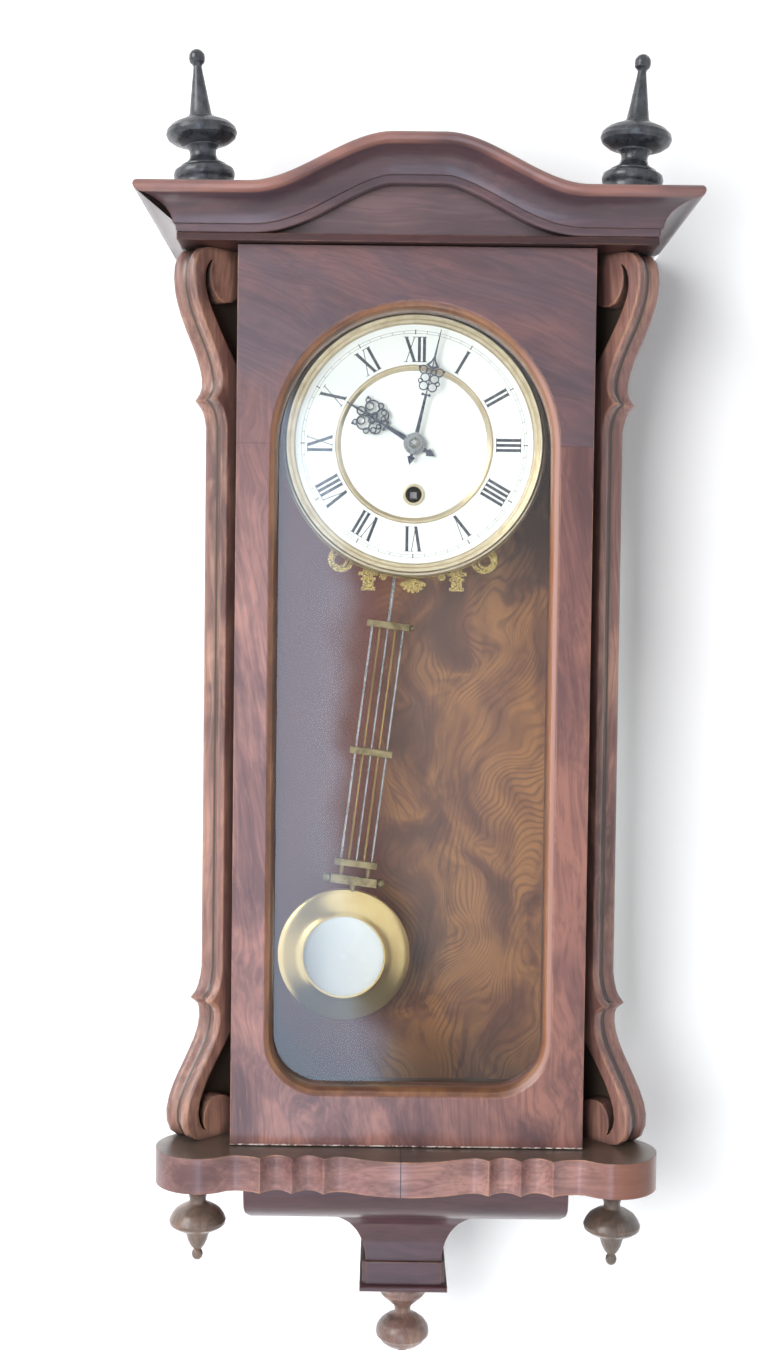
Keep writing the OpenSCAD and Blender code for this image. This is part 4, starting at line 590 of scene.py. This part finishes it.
# Dial
# A white enamelled numeral ring and centre on a brass plate, held by a stepped brass bezel, with a
# thin brass ring between them and a gilt casting that shows below the bezel.

ENAMEL_COOL, ENAMEL_WARM, ENAMEL_SPECK = rgb(0.86, 0.875, 0.88), rgb(0.9, 0.9, 0.885), rgb(0.5, 0.46, 0.4)

dress("dial_bezel dial_inner_ring winding_bush",
      metal("bezel_brass", BRASS, rgb(0.86, 0.74, 0.54), rgb(0.75, 0.62, 0.42), (0.28, 0.4)))
dress("dial_ornament",
      metal("gilt_casting", BRASS, rgb(0.9, 0.68, 0.28), rgb(0.66, 0.48, 0.17), (0.25, 0.4), chased=True,
            spots=400))

material, tree, shader, place = new_material("white_enamel")
flow = noise(tree, place, 45, 3, 0.5)
speck = noise(tree, place, 900, 2, 0.5)
colour = mixed(tree, spread(tree, flow, 0.35, 0.65), ENAMEL_COOL, ENAMEL_WARM)
join(tree, shader, Base_Color=mixed(tree, spread(tree, speck, 0.74, 0.8, 0, 0.4), colour, ENAMEL_SPECK),
     Roughness=spread(tree, flow, 0.3, 0.7, 0.1, 0.18), Normal=relief(tree, 0.05, 0.0006, flow),
     Coat_Weight=0.4, Coat_Roughness=0.05)
dress("dial_ring dial_centre", material)


# Printed numerals and minute track
# Fired black paint on the enamel: twelve Roman numerals with thick and thin strokes, five-minute
# marks and sixty minute ticks between two hair lines.

DIAL_Z = (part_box("dial_ring")[0].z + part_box("dial_ring")[1].z) / 2
DIAL_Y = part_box("dial_ring")[0].y
NUMERAL_IN, NUMERAL_OUT = 0.0521, 0.0681
THICK, THIN = 0.0019, 0.0005
SLANTED = THICK * 1.05
SERIF, SERIF_WIDE, SERIF_NARROW = 0.0004, THICK * 1.7, THICK * 1.2
ADVANCE = {"I": 0.0032, "V": 0.0078, "X": 0.0082}
SPLAY = 0.33
TRACK_IN, TRACK_OUT, TRACK_LINE = 0.0702, 0.0719, 0.00016
TICK, FIVE_TICK, FIVE_OVER = 0.00025, 0.0006, 0.0006
PAINT_LIFT, PAINT_THICK = 0.00004, 0.00003
INK, INK_FADED = rgb(0.045, 0.05, 0.07), rgb(0.12, 0.125, 0.15)


def quad(bm, corners, turn):
    """One painted stroke: four corners given as distance across and radius, turned to its hour."""
    around = Matrix.Rotation(turn, 4, "Y")
    points = [around @ Vector((across, 0, radius)) for across, radius in corners]
    bm.faces.new([bm.verts.new(p + Vector((0, DIAL_Y - PAINT_LIFT, DIAL_Z))) for p in points])


def stroke(bm, turn, foot, head, width, low=NUMERAL_IN, high=NUMERAL_OUT):
    """A stroke from its inner to its outer end."""
    half = width / 2
    quad(bm, [(foot - half, low), (foot + half, low), (head + half, high), (head - half, high)], turn)


def serif(bm, turn, across, wide, radius):
    """A short bar across the end of a stroke."""
    half = wide / 2
    quad(bm, [(across - half, radius), (across + half, radius), (across + half, radius + SERIF),
              (across - half, radius + SERIF)], turn)


def letter(bm, turn, kind, middle):
    """One letter of a numeral. Its thick stroke falls to the right, its thin one to the left."""
    reach = ADVANCE[kind] * SPLAY
    top = NUMERAL_OUT - SERIF
    if kind == "I":
        stroke(bm, turn, middle, middle, THICK)
        serif(bm, turn, middle, SERIF_WIDE, NUMERAL_IN)
        serif(bm, turn, middle, SERIF_WIDE, top)
        return
    foot = 0 if kind == "V" else reach
    stroke(bm, turn, middle + foot, middle - reach, SLANTED)
    stroke(bm, turn, middle - foot, middle + reach, THIN)
    serif(bm, turn, middle - reach, SERIF_WIDE, top)
    serif(bm, turn, middle + reach, SERIF_NARROW, top)
    if kind == "X":
        serif(bm, turn, middle - reach, SERIF_NARROW, NUMERAL_IN)
        serif(bm, turn, middle + reach, SERIF_WIDE, NUMERAL_IN)


def hair_line(bm, radius, width):
    """A thin painted circle, spun from a short stroke."""
    rims = (radius - width / 2, radius + width / 2)
    ends = [bm.verts.new((0, DIAL_Y - PAINT_LIFT, DIAL_Z + rim)) for rim in rims]
    line = bm.edges.new(ends)
    bmesh.ops.spin(bm, geom=ends + [line], cent=(0, 0, DIAL_Z), axis=(0, 1, 0), angle=math.tau, steps=144,
                   use_merge=True)


def painted(name, bm, material):
    """Makes a piece of painted strokes, with a skin's thickness, that rides on the case."""
    bmesh.ops.recalc_face_normals(bm, faces=bm.faces)
    mesh = bpy.data.meshes.new(name)
    bm.to_mesh(mesh)
    bm.free()
    mesh.materials.append(material)
    piece = bpy.data.objects.new(name, mesh)
    bpy.context.scene.collection.objects.link(piece)
    piece.modifiers.new("thickness", "SOLIDIFY").thickness = PAINT_THICK
    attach(piece, "case")


dial_paint, tree, shader, place = new_material("black_dial_paint")
fade = spread(tree, noise(tree, place, 300, 4, 0.7), 0.4, 0.7)
join(tree, shader, Base_Color=mixed(tree, fade, INK, INK_FADED), Roughness=0.25)

bm = bmesh.new()
for hour, numeral in enumerate("I II III IIII V VI VII VIII IX X XI XII".split(), 1):
    cursor = -sum(ADVANCE[kind] for kind in numeral) / 2
    for kind in numeral:
        letter(bm, math.radians(30 * hour), kind, cursor + ADVANCE[kind] / 2)
        cursor += ADVANCE[kind]
painted("numerals", bm, dial_paint)

bm = bmesh.new()
for minute in range(60):
    turn = math.radians(6 * minute)
    if minute % 5 == 0:
        stroke(bm, turn, 0, 0, FIVE_TICK, TRACK_IN - FIVE_OVER, TRACK_OUT + FIVE_OVER)
    else:
        stroke(bm, turn, 0, 0, TICK, TRACK_IN, TRACK_OUT)
for radius in (TRACK_IN, TRACK_OUT):
    hair_line(bm, radius, TRACK_LINE)
painted("minute_track", bm, dial_paint)


# Hands
# Pierced steel hands, filed and blued to a grey-blue, on the pipes of the motion work. Their hubs
# are bright.

BLUED, BLUED_PALE, HUB_STEEL = rgb(0.07, 0.08, 0.12), rgb(0.13, 0.14, 0.18), rgb(0.36, 0.37, 0.4)
HUB_R, HUB_EDGE = 0.0069, 0.0002

material, tree, shader, place = new_material("blued_steel")
heat = noise(tree, place, 220, 3, 0.6)
colour = mixed(tree, spread(tree, heat, 0.35, 0.65), BLUED, BLUED_PALE)
out = vector(tree, "SUBTRACT", {0: place, 1: (0, 0, DIAL_Z)})[0]
out = vector(tree, "MULTIPLY", {0: out, 1: (1, 0, 1)})[0]
hub = spread(tree, vector(tree, "LENGTH", {0: out})["Value"], HUB_R + HUB_EDGE, HUB_R)
join(tree, shader, Base_Color=mixed(tree, hub, colour, HUB_STEEL), Metallic=0.7,
     Roughness=spread(tree, heat, 0.3, 0.7, 0.25, 0.4))
dress("hour_hand minute_hand", material)


# Movement
# Brass plates and wheels held between pillars on a steel bracket, with steel arbors, pinions,
# ratchet, click and anchor. It is closed in by the case and seen only from the sides. The steel
# arbor of the centre wheel ends in the hands' hub, and the bright square that a key fits stands on
# a ratchet painted near black as shade, deep in the winding hole.

ARBOR_R, SQUARE_HALF, STEEL_EDGE, WINDING_DROP = 0.0024, 0.0022, 0.0001, 0.032
# Painted shade: near black for the ratchet deep in the winding hole
RATCHET_SHADE = rgb(0.012, 0.01, 0.01)


def off_axis(tree, place, axis_z, half):
    """1 outside a square round an axis that runs along Y."""
    x, y, z = xyz(tree, place)
    away = maths(tree, "MAXIMUM", maths(tree, "ABSOLUTE", x), apart(tree, z, axis_z))
    return spread(tree, away, half, half + STEEL_EDGE)


def steel_arbor(tree, place, colour):
    """Steel at the middle of the wheel."""
    return mixed(tree, off_axis(tree, place, DIAL_Z, ARBOR_R), ARBOR_STEEL, colour)


def shaded_ratchet(tree, place, colour):
    """All but the square is painted near black as shade, deep in the winding hole."""
    return mixed(tree, off_axis(tree, place, DIAL_Z - WINDING_DROP, SQUARE_HALF), colour, RATCHET_SHADE)


dress("front_plate back_plate pillars dial_plate back_cock barrel",
      metal("plate_brass", BRASS, rgb(0.7, 0.52, 0.24), rgb(0.5, 0.36, 0.15), (0.22, 0.42), spots=60))
dress("third_wheel escape_wheel minute_wheel hour_wheel catch_stud",
      metal("wheel_brass", BRASS, *WHEEL_BRASS, (0.16, 0.3)))
dress("centre_wheel", metal("centre_wheel_brass", BRASS, *WHEEL_BRASS, finish=steel_arbor))
dress("hand_nut plate_nuts cannon_pinion click click_spring anchor suspension_spring hinge_pins",
      metal("bright_steel", STEEL, ARBOR_STEEL, rgb(0.36, 0.35, 0.34), (0.18, 0.36)))
dress("winding_arbor",
      metal("winding_steel", STEEL, rgb(0.7, 0.71, 0.73), rgb(0.5, 0.5, 0.5), (0.3, 0.4), finish=shaded_ratchet))
dress("movement_bracket hanger_plate hanger_screws",
      metal("dark_steel", STEEL, rgb(0.3, 0.3, 0.31), rgb(0.16, 0.14, 0.13), (0.35, 0.55)))


# Pendulum
# A gridiron of three steel and two brass rods in brass crossbars, with a spun brass bob round a
# bare white disc.

DISC_BRIGHT, DISC_DULL = rgb(0.95, 0.97, 1.0), rgb(0.9, 0.93, 0.97)

dress("pendulum_steel_rods",
      metal("rod_steel", STEEL, rgb(0.72, 0.73, 0.76), rgb(0.4, 0.39, 0.38), (0.14, 0.3)))
dress("pendulum_brass_rods",
      metal("rod_brass", BRASS, rgb(0.72, 0.5, 0.22), rgb(0.48, 0.31, 0.12), (0.2, 0.36), along=0.08))
dress("pendulum_crossbars",
      metal("crossbar_brass", BRASS, rgb(0.5, 0.4, 0.22), rgb(0.28, 0.21, 0.1), (0.3, 0.5)))
dress("bob_shell",
      metal("bob_brass", BRASS, rgb(1.0, 0.78, 0.38), rgb(0.97, 0.71, 0.32), (0.28, 0.34), metallic=0.9,
            spots=60, wear=0.0, grime=0.0))

material, tree, shader, place = new_material("bob_paint")
flow = noise(tree, place, 45, 3, 0.5)
join(tree, shader, Base_Color=mixed(tree, spread(tree, flow, 0.35, 0.65), DISC_BRIGHT, DISC_DULL),
     Roughness=spread(tree, flow, 0.3, 0.7, 0.2, 0.35))
dress("bob_face", material)


# Wall and floor
# A plain white wall and floor that can be seen from their front only. Light that starts very near
# passes through them, so that they darken no edge of the clock.

WALL_WHITE, COOL_WHITE, WALL_GLOW = rgb(0.9, 0.905, 0.915), rgb(0.97, 0.985, 1), 0.03
VERY_NEAR = 0.04
WALL_Y, FLOOR_Z, STAGE_SIZE = 0.0006, -1.35, 9
UPRIGHT = Matrix.Rotation(math.pi / 2, 4, "X")

studio_white, tree, shader, place = new_material("studio_white")
path = put(tree, "ShaderNodeLightPath").outputs
join(tree, shader, Base_Color=WALL_WHITE, Roughness=0.9, Emission_Color=COOL_WHITE,
     Emission_Strength=times(tree, path["Is Camera Ray"], WALL_GLOW))
close = times(tree, maths(tree, "LESS_THAN", path["Ray Length"], VERY_NEAR),
              maths(tree, "SUBTRACT", 1.0, path["Is Camera Ray"]))
behind = put(tree, "ShaderNodeNewGeometry").outputs["Backfacing"]
see_through(tree, shader, maths(tree, "MAXIMUM", behind, close))


def stage_plane(name, size, matrix, material):
    """A flat stage piece, with its place in its mesh."""
    bm = bmesh.new()
    bmesh.ops.create_grid(bm, x_segments=1, y_segments=1, size=size / 2, matrix=matrix)
    mesh = bpy.data.meshes.new(name)
    bm.to_mesh(mesh)
    bm.free()
    mesh.materials.append(material)
    piece = bpy.data.objects.new(name, mesh)
    bpy.context.scene.collection.objects.link(piece)
    return piece


wall_place = Matrix.Translation((0, WALL_Y, FLOOR_Z + STAGE_SIZE / 2)) @ UPRIGHT
wall = stage_plane("wall", STAGE_SIZE, wall_place, studio_white)
floor_place = Matrix.Translation((0, WALL_Y - STAGE_SIZE / 2, FLOOR_Z))
floor = stage_plane("floor", STAGE_SIZE, floor_place, studio_white)
for piece in (wall, floor):
    piece.visible_shadow = False
floor.visible_glossy = floor.visible_transmission = False


# Light
# A white surround that looks brighter than it lights, a large soft lamp at the upper left, a front
# lamp left of the camera that no reflection shows, and one for the back.

FILL, WHITE = 0.3, 1.0

world = bpy.data.worlds.new("studio_light")
bpy.context.scene.world = world
world.use_nodes = True
tree = world.node_tree
tree.nodes.clear()
path = put(tree, "ShaderNodeLightPath").outputs
seen = maths(tree, "MAXIMUM", path["Is Glossy Ray"], path["Is Transmission Ray"])
seen = maths(tree, "MAXIMUM", path["Is Camera Ray"], seen)
strength = spread(tree, seen, 0, 1, FILL, WHITE)
surround = put(tree, "ShaderNodeBackground", {"Color": COOL_WHITE, "Strength": strength})
put(tree, "ShaderNodeOutputWorld", {"Surface": surround.outputs[0]})


def lamp(name, place, target, size, power):
    """A square soft lamp that faces a point."""
    data = bpy.data.lights.new(name, "AREA")
    data.size = size
    data.energy = power
    made = bpy.data.objects.new(name, data)
    made.location = place
    made.rotation_mode = "QUATERNION"
    made.rotation_quaternion = (Vector(target) - Vector(place)).to_track_quat("-Z", "Y")
    bpy.context.scene.collection.objects.link(made)
    return made


lamp("key", (-1.7, -1.5, 0.9), (0, -0.1, -0.25), 1.3, 31)
front = lamp("front", (-0.72, -2.1, -0.2), (0, -0.1, -0.35), 0.8, 41)
front.visible_glossy = front.visible_transmission = False
lamp("back_fill", (0.3, 2.2, 0.8), (0, 0, -0.2), 2.0, 60)


# Reflection cards
# They stand before the clock and are seen in reflections only: a pale blue one whose veil lies on
# the left of the glass, and a black and a grey one that keep the rest of the glass clear. Their
# edges wave, and lean below the level of the bob's yoke.

WINDOW_BLUE, NO_LIGHT, CARD_BLACK = rgb(4.0, 5.2, 6.8), rgb(0, 0, 0), rgb(0.05, 0.045, 0.045)
LEAN, LEAN_FROM_Z = 0.26, -0.66
CARD_LOW, CARD_HIGH = -1.3, 0.8
CARD_SOFT, CARD_WAVE = 0.07, 0.16
CARD_MARGIN_X, CARD_MARGIN_Z = 0.35, 0.15


def card(name, away, left, right, top, glow, shade, lean_left=LEAN, deeper=0.0):
    """A card at a distance before the wall, from left to right and up to its top.

    It is seen in the glass's own reflection, and in what stands behind the glass too if deeper is 1."""
    material, tree, shader, place = new_material(name)
    depth = put(tree, "ShaderNodeLightPath").outputs["Transmission Depth"]
    through = maths(tree, "MAXIMUM", maths(tree, "LESS_THAN", depth, 0.5), deeper)
    x, y, z = xyz(tree, wandering(tree, place, noise(tree, place, 5, 3, 0.5, output="Color"), CARD_WAVE))
    drop = maths(tree, "MINIMUM", maths(tree, "SUBTRACT", z, LEAN_FROM_Z), 0.0)
    leant_left = maths(tree, "ADD", x, times(tree, drop, lean_left))
    leant_right = maths(tree, "ADD", x, times(tree, drop, LEAN))
    shown = times(tree, spread(tree, leant_left, left, left + CARD_SOFT),
                  spread(tree, leant_right, right, right - CARD_SOFT),
                  spread(tree, z, CARD_LOW, CARD_LOW + CARD_SOFT), spread(tree, z, top, top - CARD_SOFT),
                  shade, through)
    join(tree, shader, Base_Color=CARD_BLACK, Roughness=0.8, Emission_Color=glow, Emission_Strength=1.0,
         Alpha=shown)
    wide, tall = right - left + 2 * CARD_MARGIN_X, top - CARD_LOW + 2 * CARD_MARGIN_Z
    middle = Matrix.Translation(((left + right) / 2, -away, (CARD_LOW + top) / 2))
    made = stage_plane(name, 1.0, middle @ UPRIGHT @ Matrix.Diagonal((wide, tall, 1, 1)), material)
    made.visible_camera = made.visible_diffuse = made.visible_shadow = made.visible_transmission = False


card("window_card", 1.78, -0.28, -0.06, 0.17, WINDOW_BLUE, 1.0, lean_left=0.0, deeper=1.0)
card("dark_card", 1.74, -0.1, 0.07, CARD_HIGH, NO_LIGHT, 1.0)
card("dim_card", 1.7, 0.0, 0.45, CARD_HIGH, NO_LIGHT, 0.4)


# Camera
# It stands about a metre before the door, level with a point under the dial, tipped down a little
# and turned the way the photograph hangs.

IMAGE_TALL, SENSOR = 1350, 36
FOCAL_PX = 1656
LENS_AT = (-0.0181, -1.199, -0.2104)
PITCH, YAW, ROLL = math.radians(2.04), math.radians(0.12), math.radians(0.70)

data = bpy.data.cameras.new("camera")
data.sensor_width = SENSOR
data.lens = SENSOR * FOCAL_PX / IMAGE_TALL
camera = bpy.data.objects.new("camera", data)
camera.location = LENS_AT
camera.rotation_mode = "QUATERNION"
ahead = Vector((-math.sin(YAW), math.cos(YAW), -math.tan(PITCH)))
camera.rotation_quaternion = ahead.to_track_quat("-Z", "Y") @ Quaternion((0, 0, 1), ROLL)
bpy.context.scene.collection.objects.link(camera)
bpy.context.scene.camera = camera
bpy.context.scene.view_settings.view_transform = "Standard"
